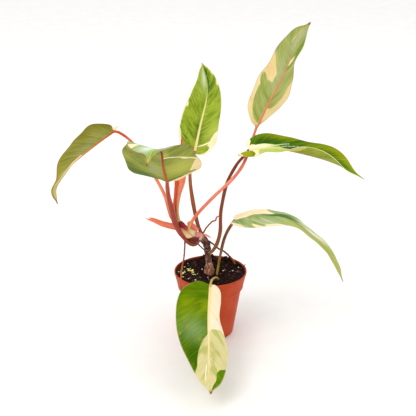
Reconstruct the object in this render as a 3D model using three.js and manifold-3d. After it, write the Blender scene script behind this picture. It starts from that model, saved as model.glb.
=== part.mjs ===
// A potted shady lady philodendron: a terracotta-coloured plastic nursery pot filled with peat, a bent
// cane, seven variegated leaves on long petioles, a rolled new leaf in its sheath, old sheaths and
// aerial roots. Millimetres, +Z up. The origin is the centre of the pot's underside, on the surface
// it stands on. +X is to the right and +Y away from someone who looks at the plant from the front.
import * as THREE from 'three';
import { mergeVertices } from 'three/addons/utils/BufferGeometryUtils.js';
import Module from 'manifold-3d';

const wasm = await Module();
wasm.setup();

// Driving dimensions of the pot
const POT_HEIGHT = 112;
const RIM_RADIUS = 60;
const BAND_FOOT = { radius: 54.5, height: 87 };
const BODY_TOP = { radius: 51, height: 81 };
const BODY_FOOT = { radius: 38.5, height: 4 };
const WALL = 1.8;
const FLOOR = 2.4;
const POT_SEGMENTS = 36;
const DRAIN_HOLE = { count: 5, radius: 4, circle: 24 };

// Driving dimensions of the soil: a nearly level top with three mounds at the back and a hollow in front
const SOIL_GAP = 0.4;
const SOIL_LEVEL = 110;
const SOIL_MOUNDS = [
  { x: -3, y: 45, height: 6, spread: 12 },
  { x: 30, y: 38, height: 3.5, spread: 14 },
  { x: -38, y: 36, height: 2, spread: 16 },
  { x: 5, y: -12, height: -6, spread: 25 },
];
const SOIL_RINGS = 9;
const CLOD = { height: 1.5, length: 5.5 };

// Pieces that touch are drawn with this clearance between them
const CLEARANCE = 0.3;

// Leaf blades. Half-widths are given at these shares of the blade's length, to the left and to the
// right of the midrib, and a lobe is how far the base reaches back past the petiole.
const STATIONS = [0.05, 0.15, 0.3, 0.45, 0.6, 0.75, 0.9];
const BLADE_ROWS = 22;
const BLADE_COLUMNS = [0, 0.07, 0.34, 0.67, 1];
const BLADE = {
  thickness: 0.8,
  tipWidth: 0.8,
  baseWidth: 1,
  ribUnder: 2.2,
  ribOver: 0.3,
  pleat: 0.35,
  foldStart: 2,
  veinSweep: 1.35,
  midribSpread: 1.8,
  midribShare: 0.05,
  firstVein: 0.08,
};

// Each spine key: a point of the midrib, the way the upper face looks, how far each half rises
// towards that side in degrees, and how much further each half curls by its margin.
const LEAVES = {
  a: {
    left: [25, 33, 29, 25, 18, 4, 5], right: [16, 26, 30, 24, 12, 6, 4], lobes: [3, 11],
    edge: { height: 0.8, waves: 3, start: 0 },
    spine: [
      { at: [-153, 10, 348], faces: [-0.5, 0.5, 0.8], rise: [35, 50], curl: [0, 0] },
      { at: [-175, 5, 333], faces: [-0.6, 0.5, 0.6], rise: [45, 55], curl: [0, 0] },
      { at: [-204, -2, 311], faces: [-0.7, 0.5, 0.5], rise: [45, 45], curl: [0, 0] },
      { at: [-222, -8, 296], faces: [-0.8, 0.6, 0.3], rise: [50, 35], curl: [0, 0] },
      { at: [-240, -12, 274], faces: [-0.7, 0.9, 0.2], rise: [65, 25], curl: [0, 0] },
      { at: [-249, -14, 257], faces: [-0.2, 0.9, 0.3], rise: [60, 5], curl: [0, 0] },
      { at: [-244, -14, 235], faces: [-0.2, 0.9, 0.3], rise: [20, 10], curl: [0, 0] },
    ],
  },
  b: {
    left: [36, 54, 56, 49, 42, 30, 7], right: [48, 54, 56, 60, 50, 43, 9], lobes: [8, -14],
    edge: { height: 1.2, waves: 3, start: 1 },
    spine: [
      { at: [-67, -50, 285], faces: [0, 0.8, 0.6], rise: [14, 14], curl: [0, 0] },
      { at: [-70, -95, 324], faces: [0, 0.8, 0.6], rise: [8, 8], curl: [0, 0] },
      { at: [-70, -150, 366], faces: [0, 0.5, 0.9], rise: [13, 18], curl: [0, 0] },
      { at: [-79, -190, 379], faces: [0, -0.2, 1], rise: [16, -10], curl: [0, 0] },
      { at: [-86, -217, 367], faces: [0, -1, 0.5], rise: [20, 16], curl: [0, 0] },
    ],
  },
  c: {
    left: [22, 32, 35, 33, 28, 21, 10], right: [23, 31, 30, 28, 25, 19, 11], lobes: [4, 1],
    edge: { height: 0.7, waves: 4, start: 2 },
    spine: [
      { at: [-26, 30, 305], faces: [0.1, -0.9, 0.4], rise: [10, 10], curl: [0, 0] },
      { at: [-16, 55, 347], faces: [0.1, -0.9, 0.4], rise: [15, 15], curl: [0, 0] },
      { at: [-7, 80, 380], faces: [0.05, -0.9, 0.4], rise: [18, 18], curl: [0, 0] },
      { at: [-6, 100, 404], faces: [0, -0.9, 0.4], rise: [25, 25], curl: [0, 0] },
      { at: [-14, 120, 433], faces: [0, -0.9, 0.4], rise: [30, 30], curl: [0, 0] },
    ],
  },
  d: {
    left: [4, 24, 36, 29, 17, 23, 18], right: [15, 28, 33, 34, 29, 27, 19], lobes: [-16, -4],
    edge: { height: 0.8, waves: 4, start: 3 },
    spine: [
      { at: [73, 28, 349], faces: [-0.3, 0.8, 0.2], rise: [10, 10], curl: [0, 0] },
      { at: [87, 21, 383], faces: [-0.3, 0.8, 0.2], rise: [15, 15], curl: [0, 0] },
      { at: [109, 8, 434], faces: [-0.3, 0.8, 0.2], rise: [20, 15], curl: [0, 0] },
      { at: [126, -5, 480], faces: [-0.4, 0.8, 0.2], rise: [28, 15], curl: [0, 0] },
      { at: [147, -17, 523], faces: [-0.5, 0.8, 0.3], rise: [45, 15], curl: [0, 0] },
    ],
  },
  e: {
    left: [28, 32, 25, 25, 26, 22, 5], right: [14, 9, 17, 21, 23, 16, 3], lobes: [4, 18],
    edge: { height: 0.8, waves: 3, start: 0.5 },
    spine: [
      { at: [60, 0, 320], faces: [-0.1, -0.25, 1], rise: [20, -35], curl: [0, 0] },
      { at: [101, -5, 325], faces: [0, -0.25, 1], rise: [20, -8], curl: [0, 25] },
      { at: [147, -12, 318], faces: [0.1, -0.25, 1], rise: [25, 42], curl: [0, 55] },
      { at: [194, -20, 305], faces: [0.3, -0.4, 0.9], rise: [25, 38], curl: [0, 45] },
      { at: [239, -33, 283], faces: [0.4, -0.5, 0.8], rise: [20, 20], curl: [0, 0] },
    ],
  },
  f: {
    left: [30, 34, 27, 16, 14, 13, 8], right: [22, 27, 28, 19, 13, 10, 7], lobes: [4, 4],
    edge: { height: 0.8, waves: 4, start: 1.5 },
    spine: [
      { at: [39, 0, 201], faces: [-0.1, -0.15, 1], rise: [-5, 0], curl: [0, 0] },
      { at: [83, -10, 212], faces: [0, -0.15, 1], rise: [-10, -10], curl: [0, 0] },
      { at: [127, -22, 211], faces: [0.3, -0.15, 0.9], rise: [-5, 0], curl: [0, 0] },
      { at: [168, -38, 184], faces: [0.6, -0.2, 0.7], rise: [5, 10], curl: [0, 0] },
      { at: [195, -50, 153], faces: [0.8, -0.4, 0.4], rise: [10, 15], curl: [0, 0] },
      { at: [211, -60, 120], faces: [0.9, -0.4, 0.2], rise: [10, 10], curl: [0, 0] },
    ],
  },
  g: {
    left: [16, 18, 17, 24, 29, 27, 18], right: [42, 50, 51, 48, 40, 26, 12], lobes: [0, 5],
    edge: { height: 0.9, waves: 3, start: 2.5 },
    spine: [
      { at: [0, -64, 116], faces: [0, -0.5, 0.9], rise: [-5, 5], curl: [0, 0] },
      { at: [-3, -115, 89], faces: [0, -0.5, 0.9], rise: [-5, 5], curl: [-10, 0] },
      { at: [-3, -165, 65], faces: [0, -0.6, 0.8], rise: [-5, 5], curl: [-10, 0] },
      { at: [-3, -212, 47], faces: [0, -0.7, 0.7], rise: [-5, 0], curl: [-10, 0] },
      { at: [0, -250, 34], faces: [0, -0.7, 0.7], rise: [-5, 0], curl: [0, 0] },
    ],
  },
};

// Round stalks: each row is a point of the centre line and the radius there
const PETIOLE_SIDES = 8;
const PETIOLE_STEPS = 2;
const PETIOLES = {
  a: [[-49, -6, 200, 3.2], [-63, -2, 207, 3.2], [-73, 2, 241, 2.9], [-88, 8, 271, 2.7],
    [-108, 12, 308, 2.5], [-126, 12, 331, 2.3], [-143, 11, 345, 2.2], [-153, 10, 348, 2]],
  b: [[-20, -3, 169, 3], [-22, -7, 164, 3.2], [-29, -11, 163, 3.3], [-36, -14, 168, 3.4],
    [-43, -17, 178, 3.7], [-52, -19, 192, 4.3], [-58, -22, 210, 4.6], [-62, -26, 232, 4.4],
    [-66, -33, 254, 3.7], [-67, -44, 274, 3.3], [-67, -50, 285, 2.8]],
  c: [[-15, 5, 176, 3], [-21, 8, 191, 3.2], [-28, 13, 224, 3.3], [-33, 21, 261, 2.8],
    [-32, 27, 290, 2.6], [-26, 30, 305, 2.4]],
  d: [[-35, -12, 190, 2], [-33, -12, 198, 2.6], [-21, -12, 217, 2.7], [5, -14, 247, 2.7],
    [32, -14, 274, 2.7], [46, -8, 290, 2.7], [54, 4, 300, 2.6], [62, 20, 316, 2.4], [68, 30, 332, 2.2],
    [73, 28, 349, 2.1]],
  e: [[-2, -1, 143, 2.6], [4, -4, 149, 3], [11, -6, 163, 3.3], [16, -4, 185, 3.2], [17, 0, 218, 3],
    [26, 2, 263, 2.9], [40, 2, 293, 2.6], [51, 1, 308, 2.4], [60, 0, 320, 2.3]],
  f: [[7, -4, 77, 2.1], [11, 0, 105, 2.1], [15, 1, 131, 2.2], [21, 2, 162, 2.6], [28, 3, 181, 2.8],
    [39, 0, 201, 2.5]],
  g: [[13, -27, 87, 1.9], [13, -27, 105, 1.9], [11, -29, 111, 1.9], [7, -34, 114, 2], [3, -42, 115, 2],
    [1, -52, 115, 2.1], [0, -64, 116, 2.2]],
};

const CANE_SIDES = 12;
const CANE_STEPS = 3;
const CANE = [[-2, 4, 52, 6], [-2, 3, 88, 7.5], [-2, 3, 108, 8.7], [-2, 4, 117, 6.7], [-3, 5, 126, 4.6],
  [-4, 5, 137, 4.8], [-5, 5, 145, 5.4], [-5.5, 5, 152, 5.6], [-9, 4, 162, 6.3], [-15, 2, 169, 6.3],
  [-20, 0, 173, 6.6], [-27, -4, 176, 7.6], [-36, -6, 183, 7.2], [-44, -8, 192, 6], [-50, -9, 200, 4.6]];
const RING_SCARS = { at: [78, 96, 103, 126], halfWidth: 1.6, height: 0.6 };

const SPEAR = [[-51, -8, 202, 2.6], [-54, -8, 222, 3.2], [-52, -8, 248, 5.1], [-47, -8, 275, 8],
  [-46, -8, 300, 6.5], [-46, -8, 322, 2.6], [-45, -8, 341, 1.4]];

// Sheaths are troughs: a curved strip about a centre line, open to one side
const SHEATH_STEPS = 3;
const SHEATHS = {
  spear_sheath: {
    centre: [[-52, -8, 206, 4.2], [-55, -8, 225, 5.4], [-52, -8, 248, 6.8], [-48, -8, 275, 8.8],
      [-47, -8, 300, 7.6]],
    thickness: 1, arc: 170, opens: [1, -0.25, 0],
  },
  old_sheath: {
    centre: [[-45, -5, 190, 5.5], [-63, 1, 191, 5.8], [-77, 5, 193, 5.2], [-92, 8, 198, 4.2],
      [-108, 12, 203, 2.4]],
    thickness: 1.2, arc: 200, opens: [0, -0.3, 1],
  },
  torn_sheath: {
    centre: [[-23, 1, 182, 5.4], [-29, 1, 189, 5.4], [-34, 1, 194, 5], [-39, 0, 199, 4]],
    thickness: 0.9, arc: 150, opens: [-0.3, 0.9, -0.4],
  },
  petiole_b_sheath: {
    centre: [[-23, -7, 171, 8.2], [-32, -10, 177, 8.4], [-41, -13, 188, 7.6], [-48, -13, 199, 6.6]],
    thickness: 1, arc: 150, opens: [0.7, 0.9, 0.5],
  },
};

const ROOT_SIDES = 6;
const ROOT_STEPS = 2;
const ROOTS = {
  root_left: [[-33, -1, 181, 1.5], [-41, -2, 170, 1.3], [-42, -12, 158, 1.3], [-43, -28, 147, 1.3],
    [-46, -42, 136, 1.3], [-47, -56, 126, 1.3], [-48, -61, 114, 1.3], [-45, -62, 102, 1.2],
    [-44, -62, 92, 0.8]],
  root_right: [[-3, 6, 162, 1.5], [6, 8, 154, 1.4], [14, 12, 145, 1.4], [22, 16, 139, 1.4],
    [30, 20, 130, 1.5], [38, 22, 119, 1.6], [43, 22, 107, 1.6], [45, 22, 92, 1.2]],
  root_curl: [[-13, 6, 174, 1.5], [-6, 12, 184, 1.3], [3, 14, 193, 1.3], [8, 16, 194, 1.3],
    [10, 17, 199, 1.3], [15, 18, 202, 0.9]],
  root_black: [[-22, 0, 160, 1], [-17, 1, 155, 1], [-11, 3, 148, 1], [-5, 4, 144, 1]],
  root_short: [[-12, 0, 176, 1.6], [-6, -4, 176, 1.4], [0, -6, 173, 0.9]],
};
const TWIG = [[50, 12, 94, 1], [54, 12, 110, 0.9], [58, 11, 117, 0.7]];

// Colours
const COLOURS = {
  pot: 0xc0583a, soil: 0x1d1614, cane: 0x5a463f, leaf: 0x5f8f2c, pale_leaf: 0xa9b96a,
  pink_stalk: 0xe8785c, brown_stalk: 0x8a4526, olive_stalk: 0xa08a3c, sheath: 0xe3794f,
  root: 0x7d4328, dark_root: 0x2f2320,
};

// Vectors and splines
const vec = (values) => new THREE.Vector3(values[0], values[1], values[2]);
const clamp = (value, low, high) => Math.min(Math.max(value, low), high);
const radians = THREE.MathUtils.degToRad;

function spline(rows, stepsPerSpan) {
  const before = rows[0].map((value, k) => 2 * value - rows[1][k]);
  const after = rows.at(-1).map((value, k) => 2 * value - rows.at(-2)[k]);
  const padded = [before, ...rows, after];
  const samples = [];
  for (let span = 0; span < rows.length - 1; span++) {
    const [a, b, c, d] = padded.slice(span, span + 4);
    for (let step = 0; step < stepsPerSpan; step++) {
      const t = step / stepsPerSpan;
      samples.push(b.map((_, k) => 0.5 * (2 * b[k] + (c[k] - a[k]) * t
        + (2 * a[k] - 5 * b[k] + 4 * c[k] - d[k]) * t ** 2
        + (3 * b[k] - a[k] - 3 * c[k] + d[k]) * t ** 3)));
    }
  }
  samples.push([...rows.at(-1)]);
  return samples;
}

// The distance along a list of rows, measured on their first few values
function distances(rows, values) {
  const along = [0];
  for (let i = 1; i < rows.length; i++) {
    const step = Math.hypot(...rows[i].slice(0, values).map((value, k) => value - rows[i - 1][k]));
    along.push(along[i - 1] + step);
  }
  return along;
}

// The row at a given distance, blended between its two neighbours
function rowAt(rows, along, distance) {
  let i = 1;
  while (i < rows.length - 1 && along[i] < distance) i++;
  const t = clamp((distance - along[i - 1]) / (along[i] - along[i - 1]), 0, 1);
  return rows[i].map((value, k) => rows[i - 1][k] + (value - rows[i - 1][k]) * t);
}

// Closed meshes
function meshGeometry(points, triangles) {
  const geometry = new THREE.BufferGeometry();
  geometry.setAttribute('position', new THREE.Float32BufferAttribute(points.flat(), 3));
  geometry.setIndex(triangles.flat());
  return geometry;
}

// Closed rings of points joined into a tube, with a flat fan at each end
function ringSolid(rings) {
  const sides = rings[0].length;
  const points = rings.flat();
  const triangles = [];
  for (let i = 0; i < rings.length - 1; i++) {
    for (let k = 0; k < sides; k++) {
      const [a, b] = [i * sides + k, i * sides + (k + 1) % sides];
      triangles.push([a, b, b + sides], [a, b + sides, a + sides]);
    }
  }
  const centre = (ring) => [0, 1, 2].map((axis) => ring.reduce((sum, p) => sum + p[axis], 0) / sides);
  const [start, end] = [points.length, points.length + 1];
  points.push(centre(rings[0]), centre(rings.at(-1)));
  const lastRing = (rings.length - 1) * sides;
  for (let k = 0; k < sides; k++) {
    const next = (k + 1) % sides;
    triangles.push([start, next, k], [end, lastRing + k, lastRing + next]);
  }
  return meshGeometry(points, triangles);
}

// Frames carried along a centre line without twisting
function carriedFrames(rows) {
  const frames = [];
  let normal = null;
  rows.forEach((row, i) => {
    const tangent = vec(rows[Math.min(i + 1, rows.length - 1)]).sub(vec(rows[Math.max(i - 1, 0)]));
    tangent.normalize();
    if (!normal) normal = Math.abs(tangent.z) > 0.9 ? vec([0, -1, 0]) : vec([0, 0, 1]);
    normal = normal.clone().addScaledVector(tangent, -normal.dot(tangent)).normalize();
    frames.push({ at: vec(row), tangent, normal, side: new THREE.Vector3().crossVectors(tangent, normal) });
  });
  return frames;
}

function stalk(keys, sides, steps, grow = 0, swell = () => 0) {
  const rows = spline(keys, steps);
  const along = distances(rows, 3);
  const rings = carriedFrames(rows).map((frame, i) => {
    const radius = Math.max(rows[i][3], 0.5) + swell(along[i]) + grow;
    return Array.from({ length: sides }, (_, k) => {
      const angle = (2 * Math.PI * k) / sides;
      return frame.at.clone()
        .addScaledVector(frame.normal, radius * Math.cos(angle))
        .addScaledVector(frame.side, radius * Math.sin(angle))
        .toArray();
    });
  });
  return ringSolid(rings);
}

function cane(grow = 0) {
  const scars = (distance) => {
    const nearest = Math.min(...RING_SCARS.at.map((at) => Math.abs(distance - at)));
    return RING_SCARS.height * Math.max(0, 1 - nearest / RING_SCARS.halfWidth);
  };
  return stalk(CANE, CANE_SIDES, CANE_STEPS, grow, scars);
}

// A trough: its section is a curved strip, closed round its outer and inner arcs
function trough({ centre, thickness, arc, opens }, grow = 0) {
  const arcPoints = 7;
  const rows = spline(centre, SHEATH_STEPS);
  const rings = carriedFrames(rows).map((frame, i) => {
    const open = vec(opens).addScaledVector(frame.tangent, -vec(opens).dot(frame.tangent)).normalize();
    const side = new THREE.Vector3().crossVectors(frame.tangent, open);
    const pointAt = (radius, share) => {
      const angle = Math.PI + radians(arc + 2 * grow) * (share - 0.5);
      return frame.at.clone()
        .addScaledVector(open, radius * Math.cos(angle))
        .addScaledVector(side, radius * Math.sin(angle))
        .toArray();
    };
    const shares = Array.from({ length: arcPoints }, (_, k) => k / (arcPoints - 1));
    const outer = shares.map((share) => pointAt(rows[i][3] + grow, share));
    const inner = shares.map((share) => pointAt(rows[i][3] - thickness - grow, 1 - share));
    return [...outer, ...inner];
  });
  return troughSolid(rings);
}

// As ringSolid, but the ends are capped strip by strip, because a curved section isn't convex
function troughSolid(rings) {
  const sides = rings[0].length;
  const points = rings.flat();
  const triangles = [];
  for (let i = 0; i < rings.length - 1; i++) {
    for (let k = 0; k < sides; k++) {
      const [a, b] = [i * sides + k, i * sides + (k + 1) % sides];
      triangles.push([a, b, b + sides], [a, b + sides, a + sides]);
    }
  }
  const lastRing = (rings.length - 1) * sides;
  for (let k = 0; k < sides / 2 - 1; k++) {
    const [a, b, c, d] = [k, k + 1, sides - 2 - k, sides - 1 - k];
    triangles.push([a, c, b], [a, d, c]);
    triangles.push([lastRing + a, lastRing + b, lastRing + c], [lastRing + a, lastRing + c, lastRing + d]);
  }
  return meshGeometry(points, triangles);
}

// One half of a blade's outline: distance from the midrib and distance along it
function halfOutline(widths, lobe, length) {
  const rows = [
    [BLADE.baseWidth, 0],
    [0.5 * widths[0], -lobe],
    ...widths.map((width, k) => [width, STATIONS[k] * length]),
    [0.3 * widths.at(-1), 0.965 * length],
    [BLADE.tipWidth, length],
  ];
  const samples = spline(rows, 24).map(([across, along]) => [Math.max(across, BLADE.tipWidth), along]);
  const along = distances(samples, 2);
  return (share) => rowAt(samples, along, share * along.at(-1));
}

// The middle surface of a blade: rows follow the side veins, from one margin over the midrib to the
// other, and each point keeps its normal, its share of the way to the margin and its distance along
function bladeSurface(leaf) {
  const spine = spline(leaf.spine.map((key) => [...key.at, ...key.faces, ...key.rise, ...key.curl]), 12);
  const along = distances(spine, 3);
  const length = along.at(-1);
  const halves = [halfOutline(leaf.left, leaf.lobes[0], length), halfOutline(leaf.right, leaf.lobes[1], length)];
  const widest = [Math.max(...leaf.left), Math.max(...leaf.right)];

  const frameAt = (distance) => {
    const inside = clamp(distance, 0, length);
    const row = rowAt(spine, along, inside);
    const reach = 2;
    const ahead = vec(rowAt(spine, along, Math.min(inside + reach, length)));
    const tangent = ahead.sub(vec(rowAt(spine, along, Math.max(inside - reach, 0)))).normalize();
    const at = vec(row).addScaledVector(tangent, distance - inside);
    const faces = vec(row.slice(3, 6));
    const normal = faces.addScaledVector(tangent, -faces.dot(tangent)).normalize();
    return { at, tangent, normal, side: new THREE.Vector3().crossVectors(tangent, normal), row };
  };

  const surface = [];
  for (let i = 0; i <= BLADE_ROWS; i++) {
    const share = i / BLADE_ROWS;
    const vein = clamp((share - BLADE.firstVein) / (1 - BLADE.firstVein), 0, 1) ** BLADE.midribSpread;
    const onMidrib = length * (BLADE.midribShare * share + (1 - BLADE.midribShare) * vein);
    const line = [];
    for (const half of [0, 1]) {
      const stops = half ? BLADE_COLUMNS : BLADE_COLUMNS.slice(1).reverse();
      const sign = half ? 1 : -1;
      const [across, distance] = halves[half](share);
      for (const stop of stops) {
        const x = across * stop;
        const y = onMidrib + (distance - onMidrib) * stop ** BLADE.veinSweep;
        const frame = frameAt(y);
        const rise = radians(frame.row[6 + half]);
        const curl = radians(frame.row[8 + half]);
        const angleAt = (s) => rise * (1 - Math.exp(-s / BLADE.foldStart)) + (curl * s) / widest[half];
        let [out, up] = [0, 0];
        const slices = 16;
        for (let s = 0; s < slices; s++) {
          const angle = angleAt((x * (s + 0.5)) / slices);
          out += (Math.cos(angle) * x) / slices;
          up += (Math.sin(angle) * x) / slices;
        }
        const phase = (2 * Math.PI * leaf.edge.waves * y) / length + leaf.edge.start + (half ? 0 : 1.3);
        up += leaf.edge.height * stop ** 1.6 * Math.sin(phase) * Math.min(1, across / 10);
        up += (i % 2 ? BLADE.pleat : 0) * 4 * stop * (1 - stop) * Math.min(1, across / 10);
        const angle = angleAt(x);
        const normal = frame.normal.clone().multiplyScalar(Math.cos(angle))
          .addScaledVector(frame.side, -sign * Math.sin(angle));
        const at = frame.at.clone().addScaledVector(frame.side, sign * out).addScaledVector(frame.normal, up);
        line.push({ at, normal, stop, share: clamp(y / length, 0, 1) });
      }
    }
    surface.push(line);
  }
  return surface;
}

// A blade is its surface given thickness, with a midrib that stands out underneath. Both faces are
// split into triangles alike.
function blade(leaf) {
  const surface = bladeSurface(leaf);
  const columns = surface[0].length;
  const offset = (point, direction) => {
    const rib = (direction > 0 ? BLADE.ribOver : BLADE.ribUnder) * (1 - 0.85 * point.share);
    const half = BLADE.thickness / 2 + (point.stop === 0 ? rib : 0);
    return point.at.clone().addScaledVector(point.normal, direction * half).toArray();
  };
  const points = [];
  for (const direction of [1, -1]) {
    for (const line of surface) points.push(...line.map((point) => offset(point, direction)));
  }
  const under = surface.length * columns;
  const index = (i, j) => i * columns + j;
  const triangles = [];
  for (let i = 0; i < surface.length - 1; i++) {
    for (let j = 0; j < columns - 1; j++) {
      const [a, b, c, d] = [index(i, j), index(i, j + 1), index(i + 1, j + 1), index(i + 1, j)];
      const split = j < (columns - 1) / 2 ? [[a, b, c], [a, c, d]] : [[a, b, d], [b, c, d]];
      for (const [p, q, r] of split) triangles.push([p, q, r], [under + p, under + r, under + q]);
    }
  }
  const wall = (p, q) => triangles.push([p, q, under + q], [p, under + q, under + p]);
  for (let i = 0; i < surface.length - 1; i++) {
    wall(index(i, 0), index(i + 1, 0));
    wall(index(i + 1, columns - 1), index(i, columns - 1));
  }
  for (let j = 0; j < columns - 1; j++) {
    wall(index(0, j + 1), index(0, j));
    wall(index(surface.length - 1, j), index(surface.length - 1, j + 1));
  }
  return meshGeometry(points, triangles);
}

// A blade's corners are moved out further than the clearance, because they lie on sharp edges
function grownBlade(leaf) {
  const geometry = blade(leaf);
  geometry.computeVertexNormals();
  const { position, normal } = geometry.attributes;
  const move = 1.8 * CLEARANCE;
  for (let i = 0; i < position.count; i++) {
    position.setXYZ(i, position.getX(i) + move * normal.getX(i), position.getY(i) + move * normal.getY(i),
      position.getZ(i) + move * normal.getZ(i));
  }
  return geometry;
}

// Joining and cutting
function solid(geometry) {
  const plain = geometry.clone();
  plain.deleteAttribute('normal');
  plain.deleteAttribute('uv');
  const merged = mergeVertices(plain, 1e-5);
  return new wasm.Manifold(new wasm.Mesh({
    numProp: 3,
    vertProperties: new Float32Array(merged.attributes.position.array),
    triVerts: new Uint32Array(merged.index.array),
  }));
}

function geometryOf(manifold) {
  const mesh = manifold.getMesh();
  const geometry = new THREE.BufferGeometry();
  geometry.setAttribute('position', new THREE.BufferAttribute(new Float32Array(mesh.vertProperties), 3));
  geometry.setIndex(new THREE.BufferAttribute(new Uint32Array(mesh.triVerts), 1));
  return geometry;
}

// The largest body that is left of a piece when its neighbours are cut away
function cutBy(piece, neighbours) {
  let left = solid(piece);
  for (const neighbour of neighbours) left = left.subtract(solid(neighbour));
  const bodies = left.decompose().sort((a, b) => b.volume() - a.volume());
  return geometryOf(bodies[0]);
}

// The pot: a turned shell with drain holes in its floor
function pot() {
  const profile = [
    [0, 0], [BODY_FOOT.radius - 4, 0], [BODY_FOOT.radius - 1.2, 1.2], [BODY_FOOT.radius, BODY_FOOT.height],
    [BODY_TOP.radius, BODY_TOP.height], [BAND_FOOT.radius, BAND_FOOT.height - 3],
    [BAND_FOOT.radius, BAND_FOOT.height], [RIM_RADIUS - 0.3, POT_HEIGHT - 1.5], [RIM_RADIUS, POT_HEIGHT - 0.8],
    [RIM_RADIUS - 0.6, POT_HEIGHT], [RIM_RADIUS - WALL, POT_HEIGHT],
    [BAND_FOOT.radius - WALL, BAND_FOOT.height], [BODY_TOP.radius - WALL, BODY_TOP.height],
    [BODY_FOOT.radius - WALL, BODY_FOOT.height + 1], [BODY_FOOT.radius - 4, FLOOR], [0, FLOOR],
  ].map(([radius, height]) => new THREE.Vector2(radius, height));
  const shell = new THREE.LatheGeometry(profile, POT_SEGMENTS).rotateX(Math.PI / 2);
  const holes = Array.from({ length: DRAIN_HOLE.count }, (_, k) => {
    const angle = (2 * Math.PI * k) / DRAIN_HOLE.count;
    const hole = new THREE.CylinderGeometry(DRAIN_HOLE.radius, DRAIN_HOLE.radius, 4 * FLOOR, 12);
    return hole.rotateX(Math.PI / 2)
      .translate(DRAIN_HOLE.circle * Math.cos(angle), DRAIN_HOLE.circle * Math.sin(angle), 0);
  });
  return cutBy(shell, holes);
}

// The clods: a smooth, repeatable unevenness made of a few crossed waves
function clods(x, y) {
  const u = x / CLOD.length;
  const v = y / CLOD.length;
  const waves = Math.sin(1.7 * u + 0.6 * v) + Math.sin(1.9 * v - 1.1 * u + 1.3) + Math.sin(2.6 * u + 2.3 * v + 0.4);
  return (CLOD.height * waves) / 3;
}

function soilHeight(x, y) {
  const mounds = SOIL_MOUNDS.map((mound) => {
    const away = Math.hypot(x - mound.x, y - mound.y) / mound.spread;
    return mound.height * Math.exp(-(away ** 2));
  });
  return SOIL_LEVEL + clods(x, y) + mounds.reduce((sum, height) => sum + height, 0);
}

// The soil fills the pot up to a small gap, and its top is uneven
function soilBody() {
  const gap = WALL + SOIL_GAP;
  const slope = (RIM_RADIUS - BAND_FOOT.radius) / (POT_HEIGHT - BAND_FOOT.height);
  const topRadius = BAND_FOOT.radius + slope * (SOIL_LEVEL - BAND_FOOT.height) - gap - 0.4;
  const angles = Array.from({ length: POT_SEGMENTS }, (_, k) => (2 * Math.PI * k) / POT_SEGMENTS);
  const levelRing = (radius, height) => angles.map((a) => [radius * Math.cos(a), radius * Math.sin(a), height]);
  const topRing = (radius) => angles.map((a) => {
    const [x, y] = [radius * Math.cos(a), radius * Math.sin(a)];
    return [x, y, soilHeight(x, y)];
  });
  const rings = [
    levelRing(8, FLOOR + SOIL_GAP),
    levelRing(BODY_FOOT.radius - 4.5, FLOOR + SOIL_GAP),
    levelRing(BODY_FOOT.radius - gap, BODY_FOOT.height + 2),
    levelRing(BODY_TOP.radius - gap, BODY_TOP.height),
    levelRing(BAND_FOOT.radius - gap - 0.2, BAND_FOOT.height + 1),
  ];
  for (let k = SOIL_RINGS; k > 0; k--) rings.push(topRing((topRadius * k) / SOIL_RINGS));
  const geometry = ringSolid(rings);
  const centre = geometry.attributes.position.count - 1;
  geometry.attributes.position.setXYZ(centre, 0, 0, soilHeight(0, 0));
  return geometry;
}

// Assembly
const plant = new THREE.Group();

function add(name, geometry, colour, roughness = 0.5) {
  const material = new THREE.MeshStandardMaterial({ color: colour, roughness, metalness: 0 });
  const mesh = new THREE.Mesh(geometry, material);
  mesh.name = name;
  plant.add(mesh);
}

const petiole = (name, grow = 0) => stalk(PETIOLES[name], PETIOLE_SIDES, PETIOLE_STEPS, grow);
const root = (name, grow = 0) => stalk(ROOTS[name], ROOT_SIDES, ROOT_STEPS, grow);
const spear = (grow = 0) => stalk(SPEAR, PETIOLE_SIDES, PETIOLE_STEPS, grow);
const twig = (grow = 0) => stalk(TWIG, ROOT_SIDES, ROOT_STEPS, grow);
const clear = CLEARANCE;

add('pot', pot(), COLOURS.pot, 0.55);
add('soil', cutBy(soilBody(), [
  cane(clear), petiole('f', clear), petiole('g', clear), root('root_right', clear), twig(clear),
]), COLOURS.soil, 0.95);
add('cane', cane(), COLOURS.cane, 0.7);

const STALK_COLOURS = {
  a: COLOURS.pink_stalk, b: COLOURS.brown_stalk, c: COLOURS.brown_stalk, d: COLOURS.pink_stalk,
  e: COLOURS.brown_stalk, f: COLOURS.brown_stalk, g: COLOURS.olive_stalk,
};
for (const [name, leaf] of Object.entries(LEAVES)) {
  add(`leaf_${name}`, blade(leaf), 'dfg'.includes(name) ? COLOURS.pale_leaf : COLOURS.leaf);
  const neighbours = [grownBlade(leaf), cane(clear)];
  if (name === 'a') neighbours.push(spear(clear), trough(SHEATHS.spear_sheath, clear));
  add(`petiole_${name}`, cutBy(petiole(name), neighbours), STALK_COLOURS[name]);
}

add('new_leaf', cutBy(spear(), [cane(clear)]), COLOURS.sheath);
const SHEATH_NEIGHBOURS = {
  spear_sheath: [cane(clear), spear(clear)],
  old_sheath: [cane(clear), petiole('a', clear), petiole('b', clear), root('root_left', clear)],
  torn_sheath: [cane(clear), petiole('c', clear), petiole('d', clear), spear(clear),
    trough(SHEATHS.spear_sheath, clear), root('root_curl', clear), petiole('a', clear)],
  petiole_b_sheath: [cane(clear), petiole('b', clear), root('root_left', clear), root('root_black', clear),
    trough(SHEATHS.old_sheath, clear), petiole('a', clear), petiole('d', clear)],
};
for (const [name, sheath] of Object.entries(SHEATHS)) {
  add(name, cutBy(trough(sheath), SHEATH_NEIGHBOURS[name]), COLOURS.sheath);
}

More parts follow.
